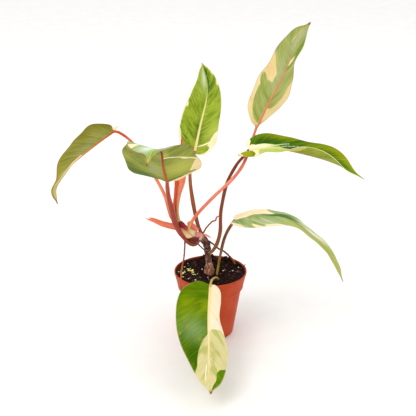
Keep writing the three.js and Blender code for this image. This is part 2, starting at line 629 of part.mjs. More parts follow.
const ROOT_NEIGHBOURS = {
  root_left: [cane(clear), petiole('b', clear)],
  root_right: [cane(clear)],
  root_curl: [cane(clear), petiole('c', clear)],
  root_black: [cane(clear), petiole('b', clear)],
  root_short: [cane(clear), petiole('c', clear)],
};
for (const name of Object.keys(ROOTS)) {
  const colour = name === 'root_black' ? COLOURS.dark_root : COLOURS.root;
  add(name, cutBy(root(name), ROOT_NEIGHBOURS[name]), colour, 0.7);
}
add('twig', twig(), COLOURS.dark_root, 0.9);

export default plant;
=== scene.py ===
import math

import bmesh
import bpy
import numpy as np
from mathutils import Matrix, Vector


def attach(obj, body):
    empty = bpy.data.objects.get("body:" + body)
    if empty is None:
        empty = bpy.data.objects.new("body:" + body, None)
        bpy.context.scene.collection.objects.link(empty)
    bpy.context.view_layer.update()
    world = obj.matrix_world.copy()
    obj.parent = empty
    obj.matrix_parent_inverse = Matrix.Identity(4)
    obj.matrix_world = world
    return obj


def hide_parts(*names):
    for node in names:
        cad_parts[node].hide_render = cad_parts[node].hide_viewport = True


# A potted shady lady philodendron. Shapes are worked out in millimetres in the CAD model's own frame
# and written as metres. +Z is up, +Y is away from the camera, and the origin is under the pot.
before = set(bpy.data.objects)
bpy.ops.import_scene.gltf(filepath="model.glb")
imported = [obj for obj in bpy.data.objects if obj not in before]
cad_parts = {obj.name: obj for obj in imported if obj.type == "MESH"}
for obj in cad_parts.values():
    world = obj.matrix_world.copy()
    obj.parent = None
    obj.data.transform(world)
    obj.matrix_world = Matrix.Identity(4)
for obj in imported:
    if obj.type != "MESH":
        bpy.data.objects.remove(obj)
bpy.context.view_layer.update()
MM = 0.001
PERCENT = 0.01
TURN = 2 * math.pi

# The camera stands 1.5 m from the pot's rim and looks 21 degrees down, as the photograph's did
PHOTO_PIXELS = 416
FOCAL_PIXELS = 905
SENSOR_MM = 36
CAMERA_TILT = 21.3
CAMERA_AT = (-0.0041, -1.3602, 0.7526)

# What the studio light does to a plain surface that faces it
LIGHT_GAIN = 1.06
LIGHT_SHEEN = 0.02

# The pot's corners, each as its radius and its height
BODY_FOOT = (38.5, 4)
BODY_TOP = (51, 81)
BAND_FOOT = (54.5, 87)
RIM = (60, 112)
WALL = 1.8
FLOOR = 2.4
POT_SEGMENTS = 144
POT_CREASE = 35
DRAIN_HOLES = dict(count=5, radius=4, circle=24, segments=32)

# The pot's profile from the outside of its floor, over the rim, to the inside: steps from each corner
POT_PROFILE = [
    (BODY_FOOT, [(-4, -4), (-2, -3.6), (-0.9, -2.6), (0, 0)]),
    (BODY_TOP, [(-0.2, -1.5), (0.5, 0.6)]),
    (BAND_FOOT, [(-0.5, -3.4), (-0.1, -2.2), (0, 0)]),
    (RIM, [(-0.9, -4.5), (-0.2, -3.6), (0, -1.6), (-0.2, -0.4), (-0.8, 0), (-WALL, -0.5)]),
    (BAND_FOOT, [(-WALL, 0)]),
    (BODY_TOP, [(-WALL, 0)]),
    (BODY_FOOT, [(-WALL, 1), (-4, FLOOR - 4)]),
]

# Soil. A mound is its middle, its height and its reach, and a crumb layer its height, length and seed.
# A wave of the clods is how fast it runs across and away, and where it starts.
SOIL_GAP = 0.4
SOIL_LEVEL = 110
SOIL_TOP_RADIUS = 56.8
SOIL_MOUNDS = [(-3, 45, 6, 12), (30, 38, 3.5, 14), (-38, 36, 2, 16), (5, -12, -6, 25)]
SOIL_CRUMB = [(0.55, 4.2, 31), (0.4, 2.1, 32), (0.25, 1.2, 33)]
SOIL_SETTLED = 0.6
SOIL_RINGS = 70
SOIL_SEGMENTS = 180
CLOD = dict(height=1.5, length=5.5)
CLOD_WAVES = [(1.7, 0.6, 0), (-1.1, 1.9, 1.3), (2.6, 2.3, 0.4)]
CLEAR_OF_WALL = 2.5
GRAIN_UNEVENNESS = 0.22
GRAIN_CREASE = 40

# Groups of grains: how many, the spot that they lie round, and how far from it
PERLITE_SPOTS = [
    (12, (0, 0), 50), (1, (32, 2), 1), (1, (37, 4), 1), (1, (-21, -7), 1), (1, (-35, -26), 1),
    (2, (-3, -13), 3),
]
FLAKE_SPOTS = [
    (2, (-44, 16), 2), (2, (-46, 8), 2), (3, (-37, 8), 4), (4, (-32, 1), 4), (2, (-50, -5), 2),
    (2, (-45, -8), 2), (1, (-46, -24), 1), (2, (-26, -15), 2), (4, (-38, 0), 10),
]
CLOD_SPOTS = [(34, (30, 43), 10), (22, (-4, 50), 9), (12, (47, 25), 6)]

# Leaf blades: the same outline stations and fold as the CAD blades, on a finer grid
STATIONS = (0.05, 0.15, 0.3, 0.45, 0.6, 0.75, 0.9)
TIP_STATION = 0.965
LOBE_WIDTH_SHARE = 0.5
TIP_WIDTH_SHARE = 0.3
OUTLINE_STEPS = 24
SPINE_STEPS = 12
VEINS = 11
ROWS_PER_VEIN = 14
STOPS = np.concatenate([[0, 0.012, 0.026, 0.042, 0.062, 0.086, 0.115], np.linspace(0.15, 1, 18)])
BLADE = dict(
    thickness=0.8, edge_thickness=0.35, edge_sharpness=5, tip_width=0.8, base_width=1, rib_under=2.2,
    rib_half_width=2.5, rib_taper=0.85, rib_narrowing=0.75, channel=0.35, channel_reach=1.1, pleat=0.45,
    fold_start=2, fold_slices=16, vein_sweep=1.35, midrib_spread=1.8, midrib_share=0.05, first_vein=0.08,
    edge_rise=1.6, other_edge_shift=1.3, tangent_reach=2, calm_width=10, ripple=0.35, ripple_length=34,
    crease=50,
)
# Beyond this distance from its edge, in millimetres, a patch of colour is the same everywhere
FIELD_REACH = 8.0

# A spine key is a point of the midrib, the way the upper face looks, how far the left and right
# halves rise towards it in degrees, and, where they do, how much further each half curls by its margin.
LEAVES = {
    "a": dict(
        left=(25, 33, 29, 25, 18, 4, 4.6), right=(16, 26, 30, 24, 12, 6, 4), lobes=(3, 11),
        edge=(0.8, 3, 0),
        spine=[
            ((-153, 10, 348), (-0.5, 0.5, 0.8), (35, 50)), ((-175, 5, 333), (-0.6, 0.5, 0.6), (45, 55)),
            ((-204, -2, 311), (-0.7, 0.5, 0.5), (45, 45)), ((-222, -8, 296), (-0.8, 0.6, 0.3), (50, 35)),
            ((-240, -12, 274), (-0.7, 0.9, 0.2), (65, 25)), ((-249, -14, 257), (-0.2, 0.9, 0.3), (60, 5)),
            ((-244, -14, 235), (-0.2, 0.9, 0.3), (20, 10)),
        ],
    ),
    "b": dict(
        left=(36, 54, 56, 49, 42, 30, 7), right=(48, 54, 56, 60, 50, 43, 9), lobes=(8, -14),
        edge=(1.2, 3, 1),
        spine=[
            ((-67, -50, 285), (0, 0.8, 0.6), (14, 14)), ((-70, -95, 324), (0, 0.8, 0.6), (8, 8)),
            ((-70, -150, 366), (0, 0.5, 0.9), (13, 18)), ((-79, -190, 379), (0, -0.2, 1), (16, -10)),
            ((-86, -217, 367), (0, -1, 0.5), (20, 16)),
        ],
    ),
    "c": dict(
        left=(22, 32, 35, 33, 28, 21, 10), right=(23, 31, 30, 28, 25, 19, 11), lobes=(4, 1),
        edge=(0.7, 4, 2),
        spine=[
            ((-26, 30, 305), (0.1, -0.9, 0.4), (10, 10)), ((-16, 55, 347), (0.1, -0.9, 0.4), (15, 15)),
            ((-7, 80, 380), (0.05, -0.9, 0.4), (18, 18)), ((-6, 100, 404), (0, -0.9, 0.4), (25, 25)),
            ((-14, 120, 433), (0, -0.9, 0.4), (30, 30)),
        ],
    ),
    "d": dict(
        left=(4, 24, 36, 29, 17, 23, 18), right=(15, 28, 33, 34, 29, 27, 19), lobes=(-16, -4),
        edge=(0.8, 4, 3),
        spine=[
            ((73, 28, 349), (-0.3, 0.8, 0.2), (10, 10)), ((87, 21, 383), (-0.3, 0.8, 0.2), (15, 15)),
            ((109, 8, 434), (-0.3, 0.8, 0.2), (20, 15)), ((126, -5, 480), (-0.4, 0.8, 0.2), (28, 15)),
            ((147, -17, 523), (-0.5, 0.8, 0.3), (45, 15)),
        ],
    ),
    "e": dict(
        left=(28, 32, 25, 25, 26, 22, 5), right=(14, 9, 17, 21, 23, 16, 3), lobes=(4, 18),
        edge=(0.8, 3, 0.5),
        spine=[
            ((60, 0, 320), (-0.1, -0.25, 1), (20, -35)), ((101, -5, 325), (0, -0.25, 1), (20, -8), (0, 25)),
            ((147, -12, 318), (0.1, -0.25, 1), (25, 42), (0, 55)),
            ((194, -20, 305), (0.3, -0.4, 0.9), (25, 38), (0, 45)),
            ((239, -33, 283), (0.4, -0.5, 0.8), (20, 20)),
        ],
    ),
    "f": dict(
        left=(30, 34, 27, 16, 14, 13, 8), right=(22, 27, 28, 19, 13, 10, 7), lobes=(4, 4),
        edge=(0.8, 4, 1.5),
        spine=[
            ((39, 0, 201), (-0.1, -0.15, 1), (-5, 0)), ((83, -10, 212), (0, -0.15, 1), (-10, -10)),
            ((127, -22, 211), (0.3, -0.15, 0.9), (-5, 0)), ((168, -38, 184), (0.6, -0.2, 0.7), (5, 10)),
            ((195, -50, 153), (0.8, -0.4, 0.4), (10, 15)), ((211, -60, 120), (0.9, -0.4, 0.2), (10, 10)),
        ],
    ),
    "g": dict(
        left=(16, 18, 17, 24, 29, 27, 18), right=(42, 50, 51, 48, 40, 26, 12), lobes=(0, 5),
        edge=(0.9, 3, 2.5),
        spine=[
            ((0, -64, 116), (0, -0.5, 0.9), (-5, 5)), ((-3, -115, 89), (0, -0.5, 0.9), (-5, 5), (-10, 0)),
            ((-3, -165, 65), (0, -0.6, 0.8), (-5, 5), (-10, 0)),
            ((-3, -212, 47), (0, -0.7, 0.7), (-5, 0), (-10, 0)), ((0, -250, 34), (0, -0.7, 0.7), (-5, 0)),
        ],
    ),
}

# Round stalks: each row is a point of the centre line and the radius there. Lumps are the height and
# the length of soft waves on a stalk, after the breadth that they see across it.
STALK = dict(least_radius=0.3, last_radius_share=0.6, dome=0.5, overrun=4)
PETIOLE_LUMPS = (3, (0.12, 22))
PETIOLE_CHANNEL = dict(depth=0.6, breadth=0.5, length=60)
ROOT_LUMPS = (2, (0.12, 6), (0.08, 2.5))
TWIG_LUMPS = (2, (0.15, 4))
TWIG_SHRINKING = 0.1
CANE_LUMPS = (8, (0.35, 9), (0.2, 3.5))
PETIOLES = {
    "a": [
        (-49, -6, 200, 3.2), (-63, -2, 207, 3.2), (-73, 2, 241, 2.9), (-88, 8, 271, 2.7),
        (-108, 12, 308, 2.5), (-126, 12, 331, 2.3), (-143, 11, 345, 2.2), (-153, 10, 348, 2),
    ],
    "b": [
        (-20, -3, 169, 3), (-22, -7, 164, 3.2), (-29, -11, 163, 3.3), (-36, -14, 168, 3.4),
        (-43, -17, 178, 3.7), (-52, -19, 192, 4.3), (-58, -22, 210, 4.6), (-62, -26, 232, 4.4),
        (-66, -33, 254, 3.7), (-67, -44, 274, 3.3), (-67, -50, 285, 2.8),
    ],
    "c": [
        (-15, 5, 176, 3), (-21, 8, 191, 3.2), (-28, 13, 224, 3.3), (-33, 21, 261, 2.8), (-32, 27, 290, 2.6),
        (-26, 30, 305, 2.4),
    ],
    "d": [
        (-35, -12, 190, 2), (-33, -12, 198, 2.6), (-21, -12, 217, 2.7), (5, -14, 247, 2.7),
        (32, -14, 274, 2.7), (46, -8, 290, 2.7), (54, 4, 300, 2.6), (62, 20, 316, 2.4), (68, 30, 332, 2.2),
        (73, 28, 349, 2.1),
    ],
    "e": [
        (-2, -1, 143, 2.6), (4, -4, 149, 3), (11, -6, 163, 3.3), (16, -4, 185, 3.2), (17, 0, 218, 3),
        (26, 2, 263, 2.9), (40, 2, 293, 2.6), (51, 1, 308, 2.4), (60, 0, 320, 2.3),
    ],
    "f": [
        (7, -4, 77, 2.1), (11, 0, 105, 2.1), (15, 1, 131, 2.2), (21, 2, 162, 2.6), (28, 3, 181, 2.8),
        (39, 0, 201, 2.5),
    ],
    "g": [
        (13, -27, 87, 1.9), (13, -27, 105, 1.9), (11, -29, 111, 1.9), (7, -34, 114, 2), (3, -42, 115, 2),
        (1, -52, 115, 2.1), (0, -64, 116, 2.2),
    ],
}
CANE = [
    (-2, 4, 52, 6), (-2, 3, 88, 7.5), (-2, 3, 108, 8.7), (-2, 4, 117, 6.7), (-3, 5, 126, 4.6),
    (-4, 5, 137, 4.8), (-5, 5, 145, 5.4), (-5.5, 5, 152, 5.6), (-9, 4, 162, 6.3), (-15, 2, 169, 6.3),
    (-20, 0, 173, 6.6), (-27, -4, 176, 7.6), (-36, -6, 183, 7.2), (-44, -8, 192, 6), (-50, -9, 200, 4.6),
]
RING_SCARS = dict(at=(78, 96, 103, 126), half_width=1.6, height=0.6)
LINING_SIDE = 1.5
SPEAR = [
    (-51, -8, 202, 2.6), (-54, -8, 222, 3.2), (-52, -8, 248, 5.1), (-47, -8, 275, 8), (-46, -8, 300, 6.5),
    (-46, -8, 322, 2.6), (-45, -8, 341, 1.4),
]
SPEAR_ROLL = dict(step=0.7, sunk=0.6, start_angle=4.2, twist=0.012, fades_in=20)

# Sheaths are troughs round a centre line, open to one side. Their far end is torn by this share.
SHEATH = dict(
    rows=60, columns=28, steps=16, crease=60, seat=0.15, tangent_reach=2, strip_breadth=12,
    edge_thinning=0.6, edge_sharpness=4, end_thinning=0.5, end_sharpness=6, point_sharpness=1.6,
    wrinkle=0.18, wrinkle_length=2.2, wrinkle_breadth=14, wrinkle_pace=0.25,
    fray_length=5, fray_breadth=20,
)
SHEATHS = {
    "spear_sheath": dict(
        centre=[
            (-52, -8, 206, 4.2), (-55, -8, 225, 5.4), (-52, -8, 248, 6.8), (-48, -8, 275, 8.8),
            (-47, -8, 300, 7.6),
        ],
        thickness=1, arc=170, opens=(1, -0.25, 0), torn=0.05, point=0.25,
    ),
    "old_sheath": dict(
        centre=[
            (-45, -5, 190, 5.5), (-63, 1, 191, 5.8), (-77, 5, 193, 5.2), (-92, 8, 198, 4.2),
            (-108, 12, 203, 2.4),
        ],
        thickness=1.2, arc=200, opens=(0, -0.3, 1), torn=0.12, point=0.1,
    ),
    "torn_sheath": dict(
        centre=[(-23, 1, 182, 5.4), (-29, 1, 189, 5.4), (-34, 1, 194, 5), (-39, 0, 199, 4)], thickness=0.9,
        arc=150, opens=(-0.3, 0.9, -0.4), torn=0.1, point=0.15,
    ),
    "petiole_b_sheath": dict(
        centre=[(-23, -7, 171, 8.2), (-32, -10, 177, 8.4), (-41, -13, 188, 7.6), (-48, -13, 199, 6.6)],
        thickness=1, arc=150, opens=(0.7, 0.9, 0.5), torn=0.08, point=0.25,
    ),
}
ROOTS = {
    "root_left": [
        (-33, -1, 181, 1.5), (-41, -2, 170, 1.3), (-42, -12, 158, 1.3), (-43, -28, 147, 1.3),
        (-46, -42, 136, 1.3), (-47, -56, 126, 1.3), (-48, -61, 114, 1.3), (-45, -62, 102, 1.2),
        (-44, -62, 92, 0.8),
    ],
    "root_right": [
        (-3, 6, 162, 1.5), (6, 8, 154, 1.4), (14, 12, 145, 1.4), (22, 16, 139, 1.4), (30, 20, 130, 1.5),
        (38, 22, 119, 1.6), (43, 22, 107, 1.6), (45, 22, 92, 1.2),
    ],
    "root_curl": [
        (-13, 6, 174, 1.5), (-6, 12, 184, 1.3), (3, 14, 193, 1.3), (8, 16, 194, 1.3), (10, 17, 199, 1.3),
        (15, 18, 202, 0.9),
    ],
    "root_black": [(-22, 0, 160, 1), (-17, 1, 155, 1), (-11, 3, 148, 1), (-5, 4, 144, 1)],
    "root_short": [(-12, 0, 176, 1.6), (-6, -4, 176, 1.4), (0, -6, 173, 0.9)],
}
TWIG = [(50, 12, 94, 1), (54, 12, 110, 0.9), (58, 11, 117, 0.7)]


# Vectors, splines and random fields
def unit(vectors):
    return vectors / np.maximum(np.linalg.norm(vectors, axis=-1, keepdims=True), 1e-9)


def dot(a, b):
    return np.sum(a * b, axis=-1, keepdims=True)


def joined(*parts):
    """Vectors from their parts, each a number or a grid of numbers."""
    return np.stack(np.broadcast_arrays(*parts), axis=-1)


def ring_angles(count):
    return TURN * np.arange(count) / count


def spline(keys, steps):
    """A smooth curve through the keys, with this many steps from one key to the next."""
    keys = np.asarray(keys, float)
    padded = np.vstack([2 * keys[0] - keys[1], keys, 2 * keys[-1] - keys[-2]])
    t = (np.arange(steps) / steps)[:, None]
    spans = []
    for a, b, c, d in zip(padded, padded[1:], padded[2:], padded[3:]):
        bend, twist = 2 * a - 5 * b + 4 * c - d, 3 * b - a - 3 * c + d
        spans.append(0.5 * (2 * b + (c - a) * t + bend * t ** 2 + twist * t ** 3))
    return np.vstack([*spans, keys[-1]])


def distances(points):
    steps = np.linalg.norm(np.diff(points, axis=0), axis=1)
    return np.concatenate([[0], np.cumsum(steps)])


def row_at(rows, along, distance):
    return joined(*(np.interp(distance, along, column) for column in rows.T))


def ripples(points, length, seed, count=8):
    """A smooth random field of about -1 to 1: crossed waves of about the given length."""
    draw = np.random.default_rng(seed)
    total = np.zeros(points.shape[:-1])
    for _ in range(count):
        direction = unit(draw.normal(size=points.shape[-1]))
        wavelength = length * draw.uniform(0.7, 1.6)
        total += np.sin(TURN * (points @ direction) / wavelength + draw.uniform(0, TURN))
    return total / math.sqrt(count)


def colour(code):
    """The linear base colour that looks like #rrggbb in this light, which brightens it and adds a sheen."""
    parts = [int(code[k:k + 2], 16) / 255 for k in (1, 3, 5)]
    seen = [((p + 0.055) / 1.055) ** 2.4 if p > 0.04045 else p / 12.92 for p in parts]
    return tuple(max((p - LIGHT_SHEEN) / LIGHT_GAIN, 0.25 * p) for p in seen) + (1.0,)


# Materials
class Paint:
    """A procedural material. Most methods add a node and give back the socket that it fills."""

    def __init__(self, name, roughness=0.5, specular=0.3):
        self.material = bpy.data.materials.new(name)
        self.material.use_nodes = True
        self.tree = self.material.node_tree
        self.surface = self.tree.nodes["Principled BSDF"].inputs
        self.surface["Roughness"].default_value = roughness
        self.surface["Specular IOR Level"].default_value = specular

    def add(self, kind, inputs, output=0, **settings):
        node = self.tree.nodes.new("ShaderNode" + kind)
        for name, value in settings.items():
            setattr(node, name, value)
        for socket, value in inputs.items():
            if isinstance(value, bpy.types.NodeSocket):
                self.tree.links.new(value, node.inputs[socket])
            else:
                node.inputs[socket].default_value = value
        return node.outputs[output]

    def place(self):
        """The point of the object's own frame, in millimetres."""
        return self.scaled(self.add("TexCoord", {}, "Object"), (1 / MM, 1 / MM, 1 / MM))

    def field(self, name, output="Vector"):
        return self.add("Attribute", {}, output, attribute_name=name)

    def axes(self, vector):
        return self.add("SeparateXYZ", {0: vector}).node.outputs

    def scaled(self, vector, scale, shift=(0, 0, 0)):
        return self.add("VectorMath", {0: vector, 1: scale, 2: shift}, operation="MULTIPLY_ADD")

    def noise(self, vector, size, detail=2.0, roughness=0.5):
        inputs = {"Vector": vector, "Scale": 1 / size, "Detail": detail, "Roughness": roughness}
        return self.add("TexNoise", inputs)

    def specks(self, vector, spacing):
        """The distance to the nearest of many scattered points, in the vector's own units."""
        return self.times(self.add("TexVoronoi", {"Vector": vector, "Scale": 1 / spacing}), spacing)

    def math(self, operation, a, b=0.0, c=0.0):
        return self.add("Math", {0: a, 1: b, 2: c}, operation=operation)

    def times(self, a, b):
        return self.math("MULTIPLY", a, b)

    def line(self, value, slope, shift):
        return self.math("MULTIPLY_ADD", value, slope, shift)

    def wander(self, value, noise, reach):
        """The value with the noise's ups and downs, which reach from 0 to 1, laid over it."""
        return self.line(self.math("SUBTRACT", noise, 0.5), reach, value)

    def step(self, value, low, high, to=1.0):
        inputs = {"Value": value, "From Min": low, "From Max": high, "To Max": to}
        return self.add("MapRange", inputs, interpolation_type="SMOOTHSTEP")

    def coats(self, base, *layers):
        """The base under layers, each with its share and its colour."""
        for share, coat in layers:
            ends = [colour(end) if isinstance(end, str) else end for end in (base, coat)]
            base = self.add("Mix", {0: share, 6: ends[0], 7: ends[1]}, 2, data_type="RGBA")
        return base

    def ramp(self, value, stops):
        """Colours by a value from 0 to 1. The stops are text: each has its percent and its colour."""
        output = self.add("ValToRGB", {0: value})
        elements = output.node.color_ramp.elements
        pairs = [stop.split() for stop in stops.split(", ")]
        while len(elements) < len(pairs):
            elements.new(0.5)
        for element, (percent, code) in zip(elements, pairs):
            element.position = float(percent) * PERCENT
            element.color = colour(code)
        return output

    def finish(self, base, roughness=None, relief=None, depth=1.0, strength=1.0):
        """The relief runs from 0 to 1, and depth is what that stands for in millimetres."""
        links = {"Base Color": base}
        if roughness is not None:
            links["Roughness"] = roughness
        if relief is not None:
            inputs = {"Height": relief, "Distance": depth * MM, "Strength": strength}
            links["Normal"] = self.add("Bump", inputs)
        for socket, value in links.items():
            self.tree.links.new(value, self.surface[socket])
        return self.material


# Meshes
def linked(name, data):
    item = bpy.data.objects.new(name, data)
    bpy.context.scene.collection.objects.link(item)
    return item


def make_mesh(name, points, faces):
    mesh = bpy.data.meshes.new(name)
    mesh.from_pydata((np.vstack(points) * MM).tolist(), [], faces)
    return mesh


def dress(piece, materials, node=None, crease=None, parts=None):
    """Give a piece its materials and its place in the part. Edges sharper than the crease stay sharp,
    and parts tells which of the materials each face has."""
    for material in materials:
        piece.data.materials.append(material)
    if parts:
        piece.data.polygons.foreach_set("material_index", parts)
    piece.data.shade_smooth()
    if crease:
        piece.data.set_sharp_from_angle(angle=math.radians(crease))
    piece.data.update()
    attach(piece, "root")
    if node:
        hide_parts(node)


def add_fields(mesh, fields):
    """Vectors or numbers for each point of the mesh, which its materials read by name."""
    for name, values in fields.items():
        kind, key = ("FLOAT_VECTOR", "vector") if values.ndim == 2 else ("FLOAT", "value")
        layer = mesh.attributes.new(name, kind, "POINT")
        layer.data.foreach_set(key, values.astype(np.float32).ravel())


def ring_faces(rings, sides):
    """Quads between closed rings of points, and a fan at each end to the last two points."""
    around = [(k, (k + 1) % sides) for k in range(sides)]
    faces = [(low + k, low + after, low + sides + after, low + sides + k)
             for low in range(0, (rings - 1) * sides, sides) for k, after in around]
    foot, last = rings * sides, (rings - 1) * sides
    for k, after in around:
        faces += [(foot, after, k), (foot + 1, last + k, last + after)]
    return faces


def shell_faces(rows, columns):
    """Faces of a thin shell: its outer grid of points, its inner one, and the rim between them."""
    count = rows * columns
    index = np.arange(count).reshape(rows, columns)
    corners = [index[:-1, :-1], index[:-1, 1:], index[1:, 1:], index[1:, :-1]]
    outer = np.stack([corner.ravel() for corner in corners], axis=1)
    outline = np.concatenate([index[0], index[1:, -1], index[-1, -2::-1], index[-2:0:-1, 0]])
    after = np.roll(outline, -1)
    rim = np.stack([after, outline, outline + count, after + count], axis=1)
    return np.vstack([outer, outer[:, ::-1] + count, rim]).tolist()


def carried_frames(points):
    """Tangents, and normals carried along a centre line without twisting."""
    tangents = unit(np.vstack([points[1:], points[-1:]]) - np.vstack([points[:1], points[:-1]]))
    normal = np.array([0, -1, 0]) if abs(tangents[0][2]) > 0.9 else np.array([0, 0, 1])
    normals = []
    for tangent in tangents:
        normal = unit(normal - tangent * np.dot(normal, tangent))
        normals.append(normal)
    return tangents, np.array(normals)


def lumpy(along, angle, lumps, *seeds, round_it=False):
    """Millimetres to add to a stalk's radius. The waves go along it and across, or round it as well."""
    breadth, *waves = lumps
    sides = [breadth * np.cos(angle)] + [breadth * np.sin(angle)] * round_it
    skin = joined(along, *sides)
    return sum(height * ripples(skin, length, seed) for (height, length), seed in zip(waves, seeds))


def add_stalk(name, keys, material, node, relief, steps=10, sides=20, overrun=0):
    """A round stalk along the keys. relief(along, angle) adds millimetres to its radius."""
    rows = spline(keys, steps)
    if overrun:
        ahead = unit(rows[-1, :3] - rows[-2, :3])
        last = [*(rows[-1, :3] + ahead * overrun), rows[-1, 3] * STALK["last_radius_share"]]
        rows = np.vstack([rows, last])
    centre = rows[:, :3]
    along = distances(centre)[:, None]
    tangents, normals = carried_frames(centre)
    across = np.cross(tangents, normals)
    angle = ring_angles(sides)[None, :]
    radius = np.maximum(rows[:, 3:], STALK["least_radius"]) + relief(along, angle)
    x, y = radius * np.cos(angle), radius * np.sin(angle)
    rings = centre[:, None] + normals[:, None] * x[..., None] + across[:, None] * y[..., None]
    ends = [centre[0], centre[-1] + tangents[-1] * STALK["dome"] * rows[-1, 3]]
    around = np.vstack([joined(x, y, along).reshape(-1, 3), [0, 0, 0], [0, 0, along[-1, 0]]])
    mesh = make_mesh(name, [rings.reshape(-1, 3), ends], ring_faces(len(rows), sides))
    add_fields(mesh, {"around": around, "share": around[:, 2] / along[-1, 0]})
    dress(linked(name, mesh), [material], node)


# Blades
def half_outline(widths, lobe, length):
    """Points along one margin, each as its width and its height, and how far along each one lies."""
    rows = [(BLADE["base_width"], 0), (LOBE_WIDTH_SHARE * widths[0], -lobe)]
    rows += [(width, station * length) for width, station in zip(widths, STATIONS)]
    rows += [(TIP_WIDTH_SHARE * widths[-1], TIP_STATION * length), (BLADE["tip_width"], length)]
    samples = spline(rows, OUTLINE_STEPS)
    samples[:, 0] = np.maximum(samples[:, 0], BLADE["tip_width"])
    return samples, distances(samples)


def blade_half(leaf, seed, half, spine, share):
    """One half of a blade's middle surface: half 0 lies left of the midrib and half 1 right of it."""
    sign = 2 * half - 1
    along = distances(spine[:, :3])
    length = along[-1]
    first = BLADE["first_vein"]
    vein = np.clip((share - first) / (1 - first), 0, 1) ** BLADE["midrib_spread"]
    on_midrib = length * (BLADE["midrib_share"] * share + (1 - BLADE["midrib_share"]) * vein)
    stop = (STOPS if half else STOPS[:0:-1])[None, :]
    widths = leaf["right" if half else "left"]
    samples, outline = half_outline(widths, leaf["lobes"][half], length)
    margin = row_at(samples, outline, share[:, 0] * outline[-1])
    across, reach = margin[:, :1], margin[:, 1:]
    x = across * stop
    y = on_midrib + (reach - on_midrib) * stop ** BLADE["vein_sweep"]
    inside = np.clip(y, 0, length)
    row = row_at(spine, along, inside)
    ahead = row_at(spine[:, :3], along, np.minimum(inside + BLADE["tangent_reach"], length))
    behind = row_at(spine[:, :3], along, np.maximum(inside - BLADE["tangent_reach"], 0))
    tangent = unit(ahead - behind)
    faces = row[..., 3:6]
    normal = unit(faces - tangent * dot(faces, tangent))
    side = sign * np.cross(tangent, normal)
    rise, curl = np.radians(row[..., 6 + half]), np.radians(row[..., 8 + half])

    def angle_at(s):
        return rise * (1 - np.exp(-s / BLADE["fold_start"])) + curl * s / max(widths)

    out, up = np.zeros_like(x), np.zeros_like(x)
    slices = BLADE["fold_slices"]
    for s in range(slices):
        angle = angle_at(x * (s + 0.5) / slices)
        out += np.cos(angle) * x / slices
        up += np.sin(angle) * x / slices
    edge_height, edge_waves, edge_start = leaf["edge"]
    phase = TURN * edge_waves * y / length + edge_start + (1 - half) * BLADE["other_edge_shift"]
    calm = np.minimum(1, across / BLADE["calm_width"])
    flat = joined(sign * x, y)
    up += edge_height * stop ** BLADE["edge_rise"] * np.sin(phase) * calm
    up += BLADE["pleat"] * np.abs(np.sin(math.pi * VEINS * share)) * 4 * stop * (1 - stop) * calm
    up += BLADE["ripple"] * ripples(flat, BLADE["ripple_length"], seed) * stop * calm
    angle = angle_at(x)[..., None]
    at = row[..., :3] + tangent * (y - inside)[..., None]
    return {
        "at": at + side * out[..., None] + normal * up[..., None],
        "normal": normal * np.cos(angle) - side * np.sin(angle),
        "stop": sign * stop + 0 * x,
        "x": x,
        "signed_x": sign * x,
        "edge": across - x,
        "along": np.clip(y / length, 0, 1),
        "vein": share + 0 * x,
    }


def blade_grid(leaf, seed):
    """The middle surface of a blade, row by row along the side veins, from margin to margin."""
    keys = [(*at, *faces, *rise, *(curl[0] if curl else (0, 0))) for at, faces, rise, *curl in leaf["spine"]]
    spine = spline(keys, SPINE_STEPS)
    share = np.linspace(0, 1, VEINS * ROWS_PER_VEIN + 1)[:, None]
    left, right = (blade_half(leaf, seed, half, spine, share) for half in (0, 1))
    grid = {key: np.concatenate([left[key], right[key]], axis=1) for key in left}
    return {**grid, "length": distances(spine[:, :3])[-1]}


def from_path(grid, path, rows, closed=False):
    """How far each point lies in millimetres from a path of (row, stop) corners in percent. Rows run from
    0 at the base to 100 at the tip, and stops from -100 at the left margin to 100 at the right one.
    A point inside a closed path counts as a minus."""
    scale = np.array([grid["length"], grid["x"].max()])
    x, y = grid[rows] * scale[0], grid["stop"] * scale[1]
    corners = np.array(path) * PERCENT * scale
    nearest = np.full(x.shape, np.inf)
    inside = np.zeros(x.shape, bool)
    for (ax, ay), (bx, by) in zip(corners, np.roll(corners, -1, axis=0) if closed else corners[1:]):
        wide, high = bx - ax, by - ay
        share = np.clip(((x - ax) * wide + (y - ay) * high) / (wide ** 2 + high ** 2), 0, 1)
        nearest = np.minimum(nearest, np.hypot(x - ax - share * wide, y - ay - share * high))
        if closed and high:
            inside ^= ((ay > y) != (by > y)) & (x < ax + (y - ay) / high * wide)
    return np.where(inside, -nearest, nearest)


def from_middle(grid, spot, rows):
    """How far each point lies from a spot's middle, as a share of the spot's reach."""
    along, along_reach, stop, stop_reach = np.array(spot) * PERCENT
    return np.hypot((grid[rows] - along) / along_reach, (grid["stop"] - stop) / stop_reach)


def patch_field(grid, looks, kind, rows):
    """How far each point lies inside patches, then outlines, then cuts, in millimetres, or outside as a
    minus. A patch is its centre and reach in rows, and its centre and reach in stops, in percent.
    A cut, or a patch marked "off", takes its area out of what lies under it."""
    half_width = np.maximum(grid["x"].max(axis=1, keepdims=True), 1)
    insides = []
    for patch in looks[kind + "_patches"]:
        size = np.minimum(patch[1] * grid["length"], patch[3] * half_width) * PERCENT
        insides.append(("off" in patch, (1 - from_middle(grid, patch[:4], rows)) * size))
    for off, paths in ((False, looks[kind + "_outlines"]), (True, looks[kind + "_cuts"])):
        insides += [(off, -from_path(grid, path, rows, closed=True)) for path in paths]
    field = np.full(grid["x"].shape, -FIELD_REACH)
    for off, inside in insides:
        field = np.minimum(field, -inside) if off else np.maximum(field, inside)
    return np.clip(field, -FIELD_REACH, FIELD_REACH)


